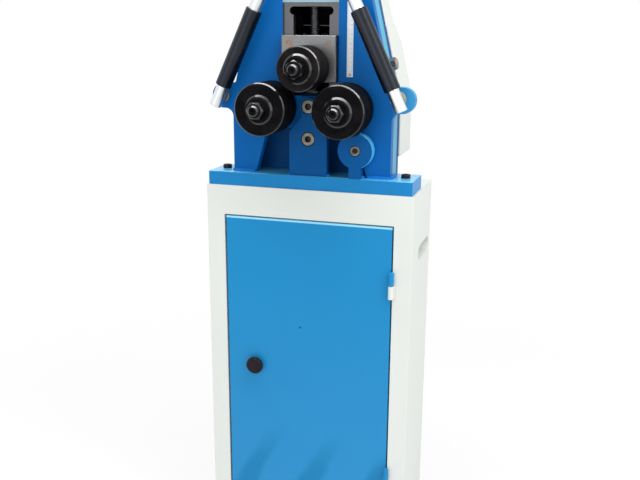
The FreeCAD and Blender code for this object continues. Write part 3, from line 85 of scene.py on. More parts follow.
BASE_TOP = high_corner("base_plate")[2]
BASE_END = high_corner("base_plate")[0]
FRAME_TOP = low_corner("top_cap")[2]
PLATE_FOOT = low_corner("front_plate")[2]
PLATE_FACE = low_corner("front_plate")[1]
PLATE_BACK = high_corner("front_plate")[1]
FRAME_BACK = high_corner("rear_plate")[1]
WALL_X = high_corner("right_side_wall")[0]
WALL_THICKNESS = 12.0 * MM
WALL_BEND = PLATE_FOOT + 175.0 * MM
WALL_SLOPE = 0.235
# Heights over which the frame's inside turns to painted shade.
INSIDE_SHADE_RISE = (PLATE_FOOT + 220.0 * MM, PLATE_FOOT + 290.0 * MM)
EAR_START = WALL_X - 2.0 * MM
EAR_END = EAR_START + 20.0 * MM
RECESS_HALF_WIDTH = 65.2 * MM
RECESS_FRONT = PLATE_FACE + 0.3 * MM
RECESS_BOTTOM = PLATE_FOOT + 179.0 * MM
RECESS_SLANT = PLATE_FOOT + 384.1 * MM
RECESS_TOP = PLATE_FOOT + 390.3 * MM
SLIDE_TOP = high_corner("slide_block")[2]
SLIDE_SCREW_X = 46.0 * MM
SLIDE_SCREW_DROP = 16.5 * MM
ROLLERS = tuple((name, middle(name + "_collar")) for name in ("upper", "lower_left", "lower_right"))
LUG_AXIS = middle("lug_screw")
LUG_RIM_RADIUS = 39.3 * MM
LUG_NECK_TOP = LUG_AXIS[2] - 36.0 * MM
LUG_NECK_HALF_WIDTH = 14.0 * MM
FOOT_ARCH_HALF_WIDTH = 134.0 * MM
SIDE_WELD_STOP = 36.0 * MM
BRACKET_HEAD = 16.0 * MM
BRACKET_SOCKET = 8.2 * MM
LUG_SOCKET = 6.0 * MM

# The covers behind the frame: each has a sloping stretch next to the seam between them.
CASE_FOOT = low_corner("gear_case")[2]
CASE_BACK = high_corner("gear_case")[1]
CASE_SLOPE = 0.746
CASE_SLOPE_DEPTH = 27.0 * MM
COVER_TOP = high_corner("upper_cover")[2]
COVER_BACK = high_corner("upper_cover")[1]
COVER_SLOPE = 0.474
COVER_SLOPE_DEPTH = 18.0 * MM
COVER_SEAM = low_corner("upper_cover")[2] - 0.4 * MM
HALF_SHEET = 1.0 * MM

DOOR_TOP = high_corner("cabinet_door")[2]
DOOR_TOP_BEND = 4.5 * MM
CHIP_PLACE = (-16.1 * MM, 583.3 * MM)
CHIP_RADIUS = 2.4 * MM
# The next lines set painted reflections of the floor on the door: darker leaning streaks and a paler tone
# towards its foot.
STREAK_LEAN = 0.55
STREAK_GAP = 154.0 * MM
STREAK_START = -221.0 * MM
STREAK_WOBBLE = 50.0 * MM
STREAK_EDGE = (12.0 * MM, 36.0 * MM)
STREAK_FADE = (0.19, 0.33)
FLOOR_REFLECTION_FADE = (0.15, 0.80)
DUST_FADE = (0.0, 0.15)

RULE_ZERO = 12.0 * MM
NUMBER_STEP = 10.0 * MM
NUMBER_HEIGHT = 4.6 * MM
NUMBER_EXTRUDE = 0.04 * MM
NUMBER_RAISE = 0.02 * MM
NUMBER_INSET = 3.6 * MM

# The burnished bevels: from the rim inwards on rings and collars, as shares of half a nut's height on
# the nuts, as radii on the shafts.
BEVEL_DEPTH = 3.0 * MM
RING_BEVEL = 2.6 * MM
COLLAR_BEVEL = 4.2 * MM
NUT_BEVEL = (0.86, 1.2)
SHAFT_BEVEL = (8.8 * MM, 12.1 * MM)


# ---- Tones of single pieces, of wear, and of painted light and shade ----

DUST = (0.30, 0.27, 0.23)
# The next three darks are painted shade: the insides of the covers and of the frame, and screw sockets.
COVER_SHADE = (0.010, 0.011, 0.012)
INSIDE_SHADE = (0.004, 0.005, 0.006)
SOCKET_SHADE = (0.012, 0.011, 0.010)
RUST = (0.27, 0.12, 0.045)
# The next four tones are painted light: faces paler where light falls, a painted highlight on the door's
# top bend and on the recess's slanted end, and the floor's painted reflection on the door.
LIT_FACE_BLUE = (0.10, 0.52, 0.84)
TOP_BEND_HIGHLIGHT = (0.30, 0.68, 0.92)
SLANT_HIGHLIGHT = (0.58, 0.86, 0.98)
FLOOR_REFLECTION_BLUE = (0.033, 0.256, 0.535)
CHIP_DARK = (0.01, 0.03, 0.07)
STEEL_GREY = (0.150, 0.125, 0.105)
STEEL_BROWN = (0.17, 0.085, 0.045)
# Painted shade on the slide's parts behind its front face.
SLIDE_SHADE = (0.02, 0.02, 0.02)
ZINC_YELLOW = (0.24, 0.19, 0.10)
RULE_WHITES = ((0.70, 0.76, 0.80), (0.78, 0.83, 0.86))
RULE_MARK = (0.20, 0.22, 0.24)
INK_GREYS = ((0.30, 0.32, 0.34), (0.42, 0.44, 0.46))
KNOB_BLACK = (0.007, 0.004, 0.008)
SCREW_BLACK = (0.010, 0.010, 0.012)
STAR_BLACK = (0.010, 0.010, 0.011)
TIP_BLACK = (0.022, 0.022, 0.024)
BRONZE = (0.45, 0.27, 0.10)
TURNED_STEEL = (0.42, 0.42, 0.43)
FEED_STEEL = (0.15, 0.155, 0.165)


# ---- The stage: metres, millimetres of lens, degrees of yaw, pitch and roll ----

CAMERA_PLACE = (0.578, -1.885, 1.2867)
CAMERA_TURN = (17.10, 14.57, 0.33)
CAMERA_LENS = 46.46
CAMERA_SENSOR = 36.0
CAMERA_CLIP = (0.05, 50.0)

# Name, place, target, width, depth and power: a broad key from the right, a fill from the left and a
# long strip above the front.
LAMPS = (
    ("key", (2.9, -1.5, 1.9), (0.0, 0.0, 0.9), 2.0, 2.4, 23.0),
    ("fill", (-0.8, -3.3, 1.8), (0.0, 0.0, 0.8), 2.0, 2.0, 18.0),
    ("strip", (0.65, -0.73, 3.2), (0.76, -0.14, 1.1), 4.2, 0.34, 82.0),
)
WORLD_LIGHT = 0.62
FLOOR_HALF_WIDTH = 8.0
FLOOR_TONES = ((0.86, 0.86, 0.86), (0.90, 0.90, 0.90))
FLOOR_GLOW_NEAR = 0.78
FLOOR_GLOW_REACH = (0.5, 2.2)


# ---- Settings that a user would change ----

class RollerColours(bpy.types.PropertyGroup):
    """Colours of the paints and metals."""
    cabinet: FloatVectorProperty(name="Cabinet", description="Off-white powder coat", subtype="COLOR",
                                 size=3, default=(0.700, 0.728, 0.694))
    door: FloatVectorProperty(name="Door", description="Blue powder coat of the door", subtype="COLOR",
                              size=3, default=(0.010, 0.242, 0.528))
    # Machine, base and wall are one blue paint in lit and shaded copies: painted light and shade. The base
    # and the side walls are paler where more light falls, the upright plates darker in shade.
    machine: FloatVectorProperty(name="Machine", description="Blue enamel of the upright plates",
                                 subtype="COLOR", size=3, default=(0.004, 0.128, 0.430))
    base: FloatVectorProperty(name="Base", description="Blue enamel of the base plate", subtype="COLOR",
                              size=3, default=(0.008, 0.205, 0.500))
    wall: FloatVectorProperty(name="Side walls", description="Paler blue enamel of side walls and cap",
                              subtype="COLOR", size=3, default=(0.026, 0.365, 0.560))
    black: FloatVectorProperty(name="Blackened steel", description="Hardened rollers and nuts",
                               subtype="COLOR", size=3, default=(0.0045, 0.0045, 0.0055))
    browned: FloatVectorProperty(name="Browned steel", description="The upper roller's rings",
                                 subtype="COLOR", size=3, default=(0.0085, 0.0075, 0.0075))
    steel: FloatVectorProperty(name="Ground steel", description="Slide block, keeper and screws",
                               subtype="COLOR", size=3, default=(0.172, 0.178, 0.184))
    recess: FloatVectorProperty(name="Recess", description="Bare steel of the slide's recess",
                                subtype="COLOR", size=3, default=(0.120, 0.125, 0.138))
    zinc: FloatVectorProperty(name="Zinc", description="Plated screws and pins", subtype="COLOR",
                              size=3, default=(0.34, 0.33, 0.28))
    bar: FloatVectorProperty(name="Lever bar", description="Bright plated lever bars", subtype="COLOR",
                             size=3, default=(0.80, 0.84, 0.86))
    foam: FloatVectorProperty(name="Foam grip", description="Black foam of the grips", subtype="COLOR",
                              size=3, default=(0.0020, 0.0055, 0.0120))
    motor: FloatVectorProperty(name="Motor", description="Grey enamel of motor and gearbox",
                               subtype="COLOR", size=3, default=(0.16, 0.18, 0.19))


class RollerSizes(bpy.types.PropertyGroup):
    """Sizes of the small details."""
    weld_radius: FloatProperty(name="Weld radius", description="Half width of the weld beads",
                               default=5.5 * MM, unit="LENGTH")
    weld_ripple: FloatProperty(name="Weld ripple", description="Length of one weld ripple",
                               default=4.5 * MM, unit="LENGTH")
    feed_pitch: FloatProperty(name="Feed pitch", description="Pitch of the feed screw",
                              default=5.0 * MM, unit="LENGTH")
    feed_depth: FloatProperty(name="Feed thread depth", description="Depth of the trapezoidal thread",
                              default=2.5 * MM, unit="LENGTH")
    tip_pitch: FloatProperty(name="Tip pitch", description="Pitch of the thread on the shaft tips",
                             default=2.0 * MM, unit="LENGTH")
    tip_bevel: FloatProperty(name="Tip bevel", description="Plain bevel in front of the tips' thread",
                             default=3.0 * MM, unit="LENGTH")
    rule_numbers: IntProperty(name="Rule numbers", description="How many numbers the rule carries",
                              default=17, min=2, max=30)


def colours():
    """The scene's colour settings."""
    return bpy.context.scene.roller_colours


def sizes():
    """The scene's size settings."""
    return bpy.context.scene.roller_sizes


# ---- Shader arithmetic ----

class Number:
    """A shader number. Its arithmetic adds Math nodes to the tree that it belongs to."""

    def __init__(self, nodes, socket):
        self.nodes = nodes
        self.socket = socket

    def math(self, operation, *others):
        return self.nodes.math(operation, self, *others)

    def __add__(self, other):
        return self.math("ADD", other)

    def __radd__(self, other):
        return self.math("ADD", other)

    def __sub__(self, other):
        return self.math("SUBTRACT", other)

    def __rsub__(self, other):
        return self.nodes.math("SUBTRACT", other, self)

    def __mul__(self, other):
        return self.math("MULTIPLY", other)

    def __rmul__(self, other):
        return self.math("MULTIPLY", other)

    def __truediv__(self, other):
        return self.math("DIVIDE", other)

    def __abs__(self):
        return self.math("ABSOLUTE")

    def __pow__(self, other):
        return self.math("POWER", other)

    def fraction(self):
        """What is left past the whole number."""
        return self.math("FRACT")

    def lower(self, other):
        """The smaller of two numbers."""
        return self.math("MINIMUM", other)

    def higher(self, other):
        """The larger of two numbers."""
        return self.math("MAXIMUM", other)

    def below(self, other):
        """1 where this is less, else 0."""
        return self.math("LESS_THAN", other)

    def above(self, other):
        """1 where this is more, else 0."""
        return self.math("GREATER_THAN", other)

    def rise(self, start, end):
        """0 before start, 1 after end, smooth between them."""
        node = self.nodes.node("ShaderNodeMapRange", {"interpolation_type": "SMOOTHSTEP"},
                                {"Value": self, "From Min": start, "From Max": end})
        return Number(self.nodes, node.outputs["Result"])

    def near(self, period, half_width):
        """1 within half_width of each multiple of period, else 0."""
        distance = abs((self / period + 0.5).fraction() - 0.5) * period
        return distance.below(half_width)


class Nodes:
    """A node tree, empty at first, and what adds nodes to it."""

    def __init__(self, tree):
        self.tree = tree
        self.tree.nodes.clear()

    def node(self, kind, settings=None, inputs=None):
        """A node of one kind: its settings come first, then the values or links of its sockets."""
        made = self.tree.nodes.new(kind)
        for key, value in (settings or {}).items():
            setattr(made, key, value)
        for key, value in (inputs or {}).items():
            self.feed(made.inputs[key], value)
        return made

    def feed(self, socket, value):
        """A link where value comes from a node, else the socket's own value."""
        if isinstance(value, Number):
            self.tree.links.new(value.socket, socket)
        elif isinstance(value, bpy.types.NodeSocket):
            self.tree.links.new(value, socket)
        elif socket.type == "RGBA" and len(value) == 3:
            socket.default_value = (*value, 1.0)
        else:
            socket.default_value = value

    def math(self, operation, *values):
        """One Math node."""
        node = self.node("ShaderNodeMath", {"operation": operation}, dict(enumerate(values)))
        return Number(self, node.outputs[0])

    def seen_directly(self):
        """1 for what the camera sees, also in gloss or through glass, and 0 for what lights the machine."""
        path = self.node("ShaderNodeLightPath")
        seen = self.math("MAXIMUM", path.outputs["Is Camera Ray"], path.outputs["Is Glossy Ray"])
        return seen.higher(path.outputs["Is Transmission Ray"])


class Finish(Nodes):
    """A material and the nodes that make it."""

    def __init__(self, name):
        self.material = bpy.data.materials.new(name)
        self.material.use_nodes = True
        super().__init__(self.material.node_tree)
        coordinates = self.node("ShaderNodeTexCoord")
        self.place = coordinates.outputs["Object"]
        parts = self.node("ShaderNodeSeparateXYZ", {}, {"Vector": self.place})
        self.x, self.y, self.z = (Number(self, parts.outputs[axis]) for axis in "XYZ")

    def stretched(self, scale, shift=(0.0, 0.0, 0.0)):
        """Object coordinates times a scale per axis, plus a shift."""
        node = self.node("ShaderNodeMapping", {}, {"Vector": self.place, "Scale": scale, "Location": shift})
        return node.outputs["Vector"]

    def noise(self, scale, detail=2.0, roughness=0.5, stretch=None, shift=(0.0, 0.0, 0.0)):
        """Noise from 0 to 1 with scale cells per metre, longer along an axis with a small stretch."""
        vector = self.stretched(stretch or (1.0, 1.0, 1.0), shift)
        node = self.node("ShaderNodeTexNoise", {}, {"Vector": vector, "Scale": scale, "Detail": detail,
                                                    "Roughness": roughness})
        return Number(self, node.outputs["Fac"])

    def cells(self, scale):
        """The distance to the nearest of scattered points."""
        node = self.node("ShaderNodeTexVoronoi", {"feature": "F1"}, {"Vector": self.place, "Scale": scale})
        return Number(self, node.outputs["Distance"])

    def reach(self, centre):
        """The distance from an axis along Y, given by its x and z."""
        away_x = self.x - centre[0]
        away_z = self.z - centre[1]
        return (away_x * away_x + away_z * away_z) ** 0.5

    def mix(self, mask, first, second):
        """One colour where the mask is 0, the other where it is 1. Sockets 6 and 7 are the two colours."""
        node = self.node("ShaderNodeMix", {"data_type": "RGBA"})
        self.feed(node.inputs["Factor"], mask)
        self.feed(node.inputs[6], first)
        self.feed(node.inputs[7], second)
        return node.outputs[2]

    def soft_edges(self, radius):
        """A normal that rounds sharp edges."""
        return self.node("ShaderNodeBevel", {"samples": 4}, {"Radius": radius}).outputs["Normal"]

    def bump(self, height, distance, normal=None):
        """A normal bent by a height, whose full range stands distance high."""
        inputs = {"Height": height, "Distance": distance, "Strength": 1.0}
        if normal is not None:
            inputs["Normal"] = normal
        return self.node("ShaderNodeBump", {}, inputs).outputs["Normal"]

    def surface(self, **inputs):
        """The Principled shader and the output. Names use _ for the blank."""
        named = {key.replace("_", " "): value for key, value in inputs.items()}
        shader = self.node("ShaderNodeBsdfPrincipled", {}, named)
        self.node("ShaderNodeOutputMaterial", {}, {"Surface": shader.outputs["BSDF"]})
        return self.material


# ---- Finishes ----

def shade(colour, factor):
    """A colour made darker or lighter."""
    return tuple(min(1.0, part * factor) for part in colour)


def within_walls(finish):
    """How far a point lies inside the frame's side faces, which lean in above the bend."""
    lean = (finish.z - WALL_BEND).higher(0.0) * WALL_SLOPE
    return WALL_X - lean - abs(finish.x)


def covers_inside(finish):
    """1 inside the gear case and its cover, whose faces are darkened as painted shade.

    back is the covers' outer surface at a height: it slopes down to the seam on the case and on from
    it on the cover."""
    below_seam = COVER_SEAM - finish.z
    case = (below_seam * CASE_SLOPE + (CASE_BACK - CASE_SLOPE_DEPTH)).lower(CASE_BACK)
    cover = (below_seam * COVER_SLOPE + COVER_BACK).higher(COVER_BACK - COVER_SLOPE_DEPTH)
    back = case + (cover - case) * finish.z.above(COVER_SEAM)
    return ((back - finish.y).above(1.2 * HALF_SHEET) * within_walls(finish).above(-0.4 * HALF_SHEET)
            * finish.z.above(CASE_FOOT + 1.5 * HALF_SHEET) * finish.z.below(COVER_TOP - HALF_SHEET))


def powder_coat(name, colour, grain, gloss, edge, grime, painted_shade=None):
    """Powder coat: an orange-peel skin, a slight drift of tone, dust towards the foot.

    oily is a function that gives the mask of faces darkened as painted shade."""
    finish = Finish(name)
    drift = finish.noise(2.2, 3.0, 0.5)
    dust = finish.noise(9.0, 5.0, 0.65) * (1.0 - finish.z.rise(*DUST_FADE)) * grime
    skin = finish.noise(grain, 1.0, 0.4)
    tone = finish.mix(drift.rise(0.3, 0.7), shade(colour, 0.985), shade(colour, 1.015))
    tone = finish.mix(dust, tone, DUST)
    # Painted shade: the faces inside the covers go dark.
    if painted_shade:
        tone = finish.mix(painted_shade(finish), tone, COVER_SHADE)
    normal = finish.bump(skin, 0.05 * MM, finish.soft_edges(edge))
    return finish.surface(Base_Color=tone, Roughness=gloss + drift * 0.08, Normal=normal,
                          Specular_IOR_Level=0.25)


def door_coat(name, colour):
    """The door's blue coat with one small chip, a painted reflection of the floor towards the foot (a paler
    tone and darker streaks) and a painted highlight on its top bend.
    """
    finish = Finish(name)
    drift = finish.noise(3.0, 3.0, 0.5, stretch=(1.0, 1.0, 0.5))
    # Painted reflection of the floor: a paler tone and darker leaning streaks towards the foot.
    bloom = (1.0 - finish.z.rise(*FLOOR_REFLECTION_FADE)) * 0.6
    wobble = finish.noise(9.0, 2.0, 0.5) * STREAK_WOBBLE
    across = finish.x - finish.z * STREAK_LEAN - STREAK_START + wobble
    away = abs((across / STREAK_GAP + 0.5).fraction() - 0.5) * STREAK_GAP
    reflected_streaks = (1.0 - away.rise(*STREAK_EDGE)) * (1.0 - finish.z.rise(*STREAK_FADE))
    # Painted highlight along the door's top bend.
    top_bend_highlight = finish.z.above(DOOR_TOP - DOOR_TOP_BEND)
    skin = finish.noise(520.0, 1.0, 0.4)
    chip = finish.reach(CHIP_PLACE).below(CHIP_RADIUS)
    tone = finish.mix(drift.rise(0.3, 0.7), shade(colour, 0.97), shade(colour, 1.03))
    tone = finish.mix(bloom, tone, FLOOR_REFLECTION_BLUE)
    tone = finish.mix(reflected_streaks * 0.85, tone, shade(colour, 0.80))
    tone = finish.mix(top_bend_highlight, tone, TOP_BEND_HIGHLIGHT)
    tone = finish.mix(chip, tone, CHIP_DARK)
    normal = finish.bump(skin, 0.05 * MM, finish.soft_edges(1.2 * MM))
    return finish.surface(Base_Color=tone, Roughness=0.36 + drift * 0.1, Normal=normal,
                          Specular_IOR_Level=0.15)


def right_ear(finish):
    """Painted light: 1 on the front plate's right ear, made paler because it catches the most light."""
    return finish.x.rise(EAR_START, EAR_END) * 0.45


def lug_rim(finish):
    """Painted light: 1 on the right half of the turned edge of the lug's round head, made paler as lit from
    the right.
    """
    return (finish.reach((LUG_AXIS[0], LUG_AXIS[2])).above(LUG_RIM_RADIUS) * finish.x.above(LUG_AXIS[0])
            * finish.z.above(LUG_NECK_TOP))


def base_face(finish):
    """Painted light: 1 on the base plate's upper face, less on its right end, both made paler where light
    falls.
    """
    return finish.z.above(BASE_TOP - 0.5 * MM).higher(finish.x.above(BASE_END - 0.5 * MM) * 0.12)


def enamel(name, colour, gloss=0.12, steel_colour=None, pale=None, glaze=0.0):
    """Sprayed enamel over ground plate, near black as painted shade on the faces that look into the frame.

    With a steel colour, the slide's recess is left bare, with a painted highlight on its slanted end. pale
    is a function that gives the mask of painted light, faces paler where light falls, and glaze the clear
    coat on it."""
    finish = Finish(name)
    drift = finish.noise(7.0, 4.0, 0.55)
    lumps = finish.noise(60.0, 3.0, 0.5)
    skin = finish.noise(420.0, 1.0, 0.4)
    tone = finish.mix(drift.rise(0.3, 0.72), shade(colour, 0.94), shade(colour, 1.06))
    coat = 0.0
    # Painted light: the pale mask makes faces paler where light falls on them.
    if pale:
        coat = pale(finish) * glaze
        tone = finish.mix(pale(finish) * 0.9, tone, LIT_FACE_BLUE)
    # Painted shade: faces inside the frame behind the slide go near black.
    inside_shade = (within_walls(finish).above(WALL_THICKNESS / 2.0)
              * finish.y.above(PLATE_BACK - 0.5 * MM) * finish.y.below(FRAME_BACK - 0.5 * MM)
              * finish.z.rise(*INSIDE_SHADE_RISE) * finish.z.below(FRAME_TOP + 0.5 * MM))
    tone = finish.mix(inside_shade, tone, INSIDE_SHADE)
    height = lumps * 0.7 + skin * 0.3
    normal = finish.bump(height, 0.12 * MM, finish.soft_edges(1.3 * MM))
    rough = 0.33 + drift * 0.12
    metal = 0.0
    if steel_colour:
        inside = (abs(finish.x).below(RECESS_HALF_WIDTH) * finish.z.above(RECESS_BOTTOM)
                  * finish.z.below(RECESS_TOP) * finish.y.above(RECESS_FRONT)
                  * finish.y.below(PLATE_BACK + 1.0 * MM))
        # Painted highlight: the recess's slanted end is near white.
        slant_highlight = inside * finish.z.above(RECESS_SLANT)
        tone = finish.mix(inside, tone, ground_tone(finish, steel_colour))
        tone = finish.mix(slant_highlight, tone, SLANT_HIGHLIGHT)
        rough = rough + inside * 0.08
        metal = inside - slant_highlight
    return finish.surface(Base_Color=tone, Roughness=rough, Metallic=metal, Normal=normal,
                          Specular_IOR_Level=gloss, Coat_Weight=coat, Coat_Roughness=0.25)


def ground_tone(finish, colour):
    """Ground steel: fine scratches across, a grey drift and brown stains."""
    scratches = finish.noise(60.0, 3.0, 0.7, stretch=(1.0, 1.0, 22.0))
    drift = finish.noise(22.0, 4.0, 0.6, shift=(1.3, 0.4, 0.0))
    stain = finish.noise(38.0, 5.0, 0.7, shift=(0.0, 2.0, 0.7)).rise(0.57, 0.74)
    tone = finish.mix(scratches.rise(0.25, 0.75), shade(colour, 0.88), shade(colour, 1.15))
    tone = finish.mix(drift.rise(0.35, 0.7) * 0.35, tone, STEEL_GREY)
    return finish.mix(stain * 0.3, tone, STEEL_BROWN)


def ground_steel(name, colour, rust_spots=()):
    """Ground steel, darkened as painted shade behind its front face, with rust blooming round points of
    that face.

    A rust spot is the x and z of its middle, its radius and its strength."""
    finish = Finish(name)
    tone = ground_tone(finish, colour)
    speck = finish.noise(170.0, 4.0, 0.7)
    for x, z, reach, strength in rust_spots:
        bloom = (1.0 - finish.reach((x, z)).rise(reach * 0.2, reach)) * speck.rise(0.38, 0.62)
        tone = finish.mix(bloom * strength, tone, RUST)
    # Painted shade: everything behind the front face goes near black.
    tone = finish.mix(finish.y.above(PLATE_FACE + 2.0 * MM), tone, SLIDE_SHADE)
    lines = finish.noise(90.0, 2.0, 0.6, stretch=(1.0, 1.0, 25.0))
    normal = finish.bump(lines, 0.03 * MM, finish.soft_edges(1.0 * MM))
    return finish.surface(Base_Color=tone, Roughness=0.30 + lines * 0.12, Metallic=0.95, Normal=normal)


def black_rings(name, colour, centre, inner, outer, back):
    """Blackened steel turned about one axis: fine grooves, oily sheen.

    The bevel between two radii, in front of back, is burnished: a clear coat stands for its polish."""
    finish = Finish(name)
    radius = finish.reach(centre)
    grooves = ((radius / (0.9 * MM)).fraction() - 0.5) ** 2.0
    cloud = finish.noise(30.0, 4.0, 0.6)
    speck = finish.noise(260.0, 3.0, 0.6)
    polish = radius.above(inner) * radius.below(outer) * finish.y.below(back)
    tone = finish.mix(cloud.rise(0.35, 0.7), shade(colour, 0.8), shade(colour, 1.8))
    normal = finish.bump(grooves * 0.5 + speck * 0.5, 0.02 * MM, finish.soft_edges(0.5 * MM))
    return finish.surface(Base_Color=tone, Roughness=0.42 + cloud * 0.16, Normal=normal,
                          Coat_Weight=polish, Coat_Roughness=0.16, Specular_IOR_Level=0.02)


def plated(name, colour, rough, scale, tarnish):
    """Plated or bright metal with a fine grain and cloudy tarnish."""
    finish = Finish(name)
    cloud = finish.noise(scale, 4.0, 0.6)
    grain = finish.noise(scale * 22.0, 2.0, 0.6)
    tone = finish.mix(cloud.rise(0.35, 0.75) * tarnish, colour, shade(colour, 0.55))
    normal = finish.bump(grain, 0.02 * MM, finish.soft_edges(0.5 * MM))
    return finish.surface(Base_Color=tone, Roughness=rough + cloud * 0.12, Metallic=1.0, Normal=normal)


def sunk_screws(name, colour, centres, socket):
    """Zinc-plated cap screws: yellowish tarnish, and sockets darkened as painted shade."""
    finish = Finish(name)
    cloud = finish.noise(90.0, 4.0, 0.65)
    grain = finish.noise(1400.0, 2.0, 0.6)
    tone = finish.mix(cloud.rise(0.35, 0.7), colour, shade(colour, 0.5))
    tone = finish.mix(cloud.rise(0.5, 0.8) * 0.4, tone, ZINC_YELLOW)
    for centre in centres:
        # Painted shade in each socket.
        socket_shade = 1.0 - finish.reach(centre).rise(socket * 0.85, socket)
        tone = finish.mix(socket_shade * 0.92, tone, SOCKET_SHADE)
    normal = finish.bump(grain, 0.02 * MM, finish.soft_edges(0.6 * MM))
    return finish.surface(Base_Color=tone, Roughness=0.34 + cloud * 0.12, Metallic=0.9, Normal=normal)


def foam(name, colour):
    """Closed-cell foam: tiny pits, a dusty bloom."""
    finish = Finish(name)
    pits = finish.cells(1500.0)
    bloom = finish.noise(35.0, 4.0, 0.6)
    tone = finish.mix(bloom.rise(0.35, 0.75), shade(colour, 0.8), shade(colour, 1.7))
    normal = finish.bump(pits * 0.6 + finish.noise(600.0, 2.0) * 0.4, 0.04 * MM)
    return finish.surface(Base_Color=tone, Roughness=0.24 + bloom * 0.1, Normal=normal,
                          Specular_IOR_Level=0.35)


def moulded(name, colour):
    """Dark moulded plastic with a faint spark-eroded grain."""
    finish = Finish(name)
    grain = finish.noise(900.0, 2.0, 0.5)
    smear = finish.noise(40.0, 3.0, 0.6)
    tone = finish.mix(smear.rise(0.4, 0.7), colour, shade(colour, 1.5))
    normal = finish.bump(grain, 0.04 * MM)
    return finish.surface(Base_Color=tone, Roughness=0.38 + smear * 0.15, Normal=normal,
                          Specular_IOR_Level=0.2)


def rule_finish(name):
    """The rule: satin white steel with a grey mark each millimetre, longer at 5 and 10.

    across and along are in millimetres, from the rule's left edge and from its zero."""
    finish = Finish(name)
    low = low_corner("scale_rule")
    across = (finish.x - low[0]) / MM
    along = (finish.z - low[2] - RULE_ZERO) / MM
    short = along.near(1.0, 0.14) * across.below(3.2)
    fives = along.near(5.0, 0.17) * across.below(4.8)
    tens = along.near(10.0, 0.20) * across.below(6.4)
    marks = short.higher(fives).higher(tens) * along.above(-0.4)
    brush = finish.noise(80.0, 3.0, 0.6, stretch=(12.0, 1.0, 1.0))
    tone = finish.mix(brush.rise(0.3, 0.7), *RULE_WHITES)
    tone = finish.mix(marks * 0.45, tone, RULE_MARK)
    normal = finish.bump(brush, 0.02 * MM, finish.soft_edges(0.3 * MM))
    return finish.surface(Base_Color=tone, Roughness=0.38 + brush * 0.1, Normal=normal)


def marking_ink(name):
    """Worn grey filling of the rule's numbers."""
    finish = Finish(name)
    grain = finish.noise(1500.0, 2.0)
    return finish.surface(Base_Color=finish.mix(grain, *INK_GREYS), Roughness=0.5 + grain * 0.2)


# ---- Surfaces ----

WELD_ROWS_PER_RIPPLE = 6.0
WELD_RIPPLE_HEIGHT = 0.13
WELD_UNEVENNESS = 0.22
WELD_SMOOTHING = 4
WELD_FIRST_SEED = 7
WELD_COLUMNS = 20
WELD_LEAST_ROWS = 12
WELD_END = 0.02
THREAD_COLUMNS = 48
THREAD_ROWS_PER_TURN = 8.0
THREAD_GAP = 0.2 * MM

# The feed screw: a bevelled collar at its foot, the thread, a plain spigot at its top. The shares are
# those of a pitch that the crest and one flank take, and the fade is in pitches.
FEED_COLLAR = 17.4 * MM
FEED_COLLAR_RADIUS = 16.0 * MM
FEED_COLLAR_BEVEL = 0.8 * MM
FEED_CREST = 11.0 * MM
FEED_SHARES = (0.34, 0.14)
FEED_FADE = 1.5
FEED_SPIGOT = 40.0 * MM
FEED_SPIGOT_RADIUS = 9.0 * MM

# The threads on the shaft tips: a sleeve from its bore to the thread, which runs into the nut.
TIP_BORE = 11.2 * MM
TIP_ROOT = 12.05 * MM
TIP_DEPTH = 0.75 * MM
TIP_SHARES = (0.15, 0.35)
TIP_FADE = 1.2 * MM
TIP_OVERLAP = 0.3 * MM
TIP_ROWS = 40


def mesh_object(name, points, faces, material, smooth=True):
    """A mesh object at the origin from arrays of points and faces, its faces pointing outwards."""
    mesh = bpy.data.meshes.new(name)
    mesh.from_pydata(points.reshape(-1, 3).tolist(), [], faces)
    work = bmesh.new()
    work.from_mesh(mesh)
    bmesh.ops.remove_doubles(work, verts=work.verts, dist=1e-7)
    bmesh.ops.recalc_face_normals(work, faces=work.faces)
    work.to_mesh(mesh)
    work.free()
    mesh.polygons.foreach_set("use_smooth", [smooth] * len(mesh.polygons))
    mesh.materials.append(material)
    made = bpy.data.objects.new(name, mesh)
    bpy.context.scene.collection.objects.link(made)
    return made


def grid_faces(rows, columns):
    """Quads of an open tube: rows rings one after the other, with columns points each."""
    ring = np.arange(columns)
    after = (ring + 1) % columns
    low = np.arange(rows - 1)[:, None] * columns
    high = low + columns
    return np.stack([low + ring, low + after, high + after, high + ring], axis=-1).reshape(-1, 4).tolist()


def tube_faces(rows, columns):
    """The tube's quads with each end closed by one polygon."""
    ring = np.arange(columns)
    return grid_faces(rows, columns) + [ring[::-1].tolist(), (ring + (rows - 1) * columns).tolist()]


def loop_faces(rows, columns):
    """The tube's quads with its last ring joined to its first."""
    ring = np.arange(columns)
    after = (ring + 1) % columns
    last = (rows - 1) * columns
    seam = np.stack([last + ring, last + after, after, ring], axis=-1)
    return grid_faces(rows, columns) + seam.tolist()


def lathe_points(along, radius, base, axis, columns):
    """Points of a turned surface, by length s and angle a: base + axis s + r (side cos a + up sin a).

    along holds the lengths, radius one r for each length, or for each length and angle."""
    axis = np.array(axis, float)
    side = np.array([1.0, 0.0, 0.0]) if abs(axis[0]) < 0.9 else np.array([0.0, 1.0, 0.0])
    side = side - axis * side.dot(axis)
    side = side / np.linalg.norm(side)
    up = np.cross(axis, side)
    angle = np.linspace(0.0, 2.0 * math.pi, columns, endpoint=False)
    spoke = side[None, :] * np.cos(angle)[:, None] + up[None, :] * np.sin(angle)[:, None]
    along = np.asarray(along, float)
    radius = np.broadcast_to(np.asarray(radius, float).reshape(len(along), -1), (len(along), columns))
    centre = np.array(base, float)[None, None, :] + along[:, None, None] * axis[None, None, :]
    return centre + radius[:, :, None] * spoke[None, :, :]


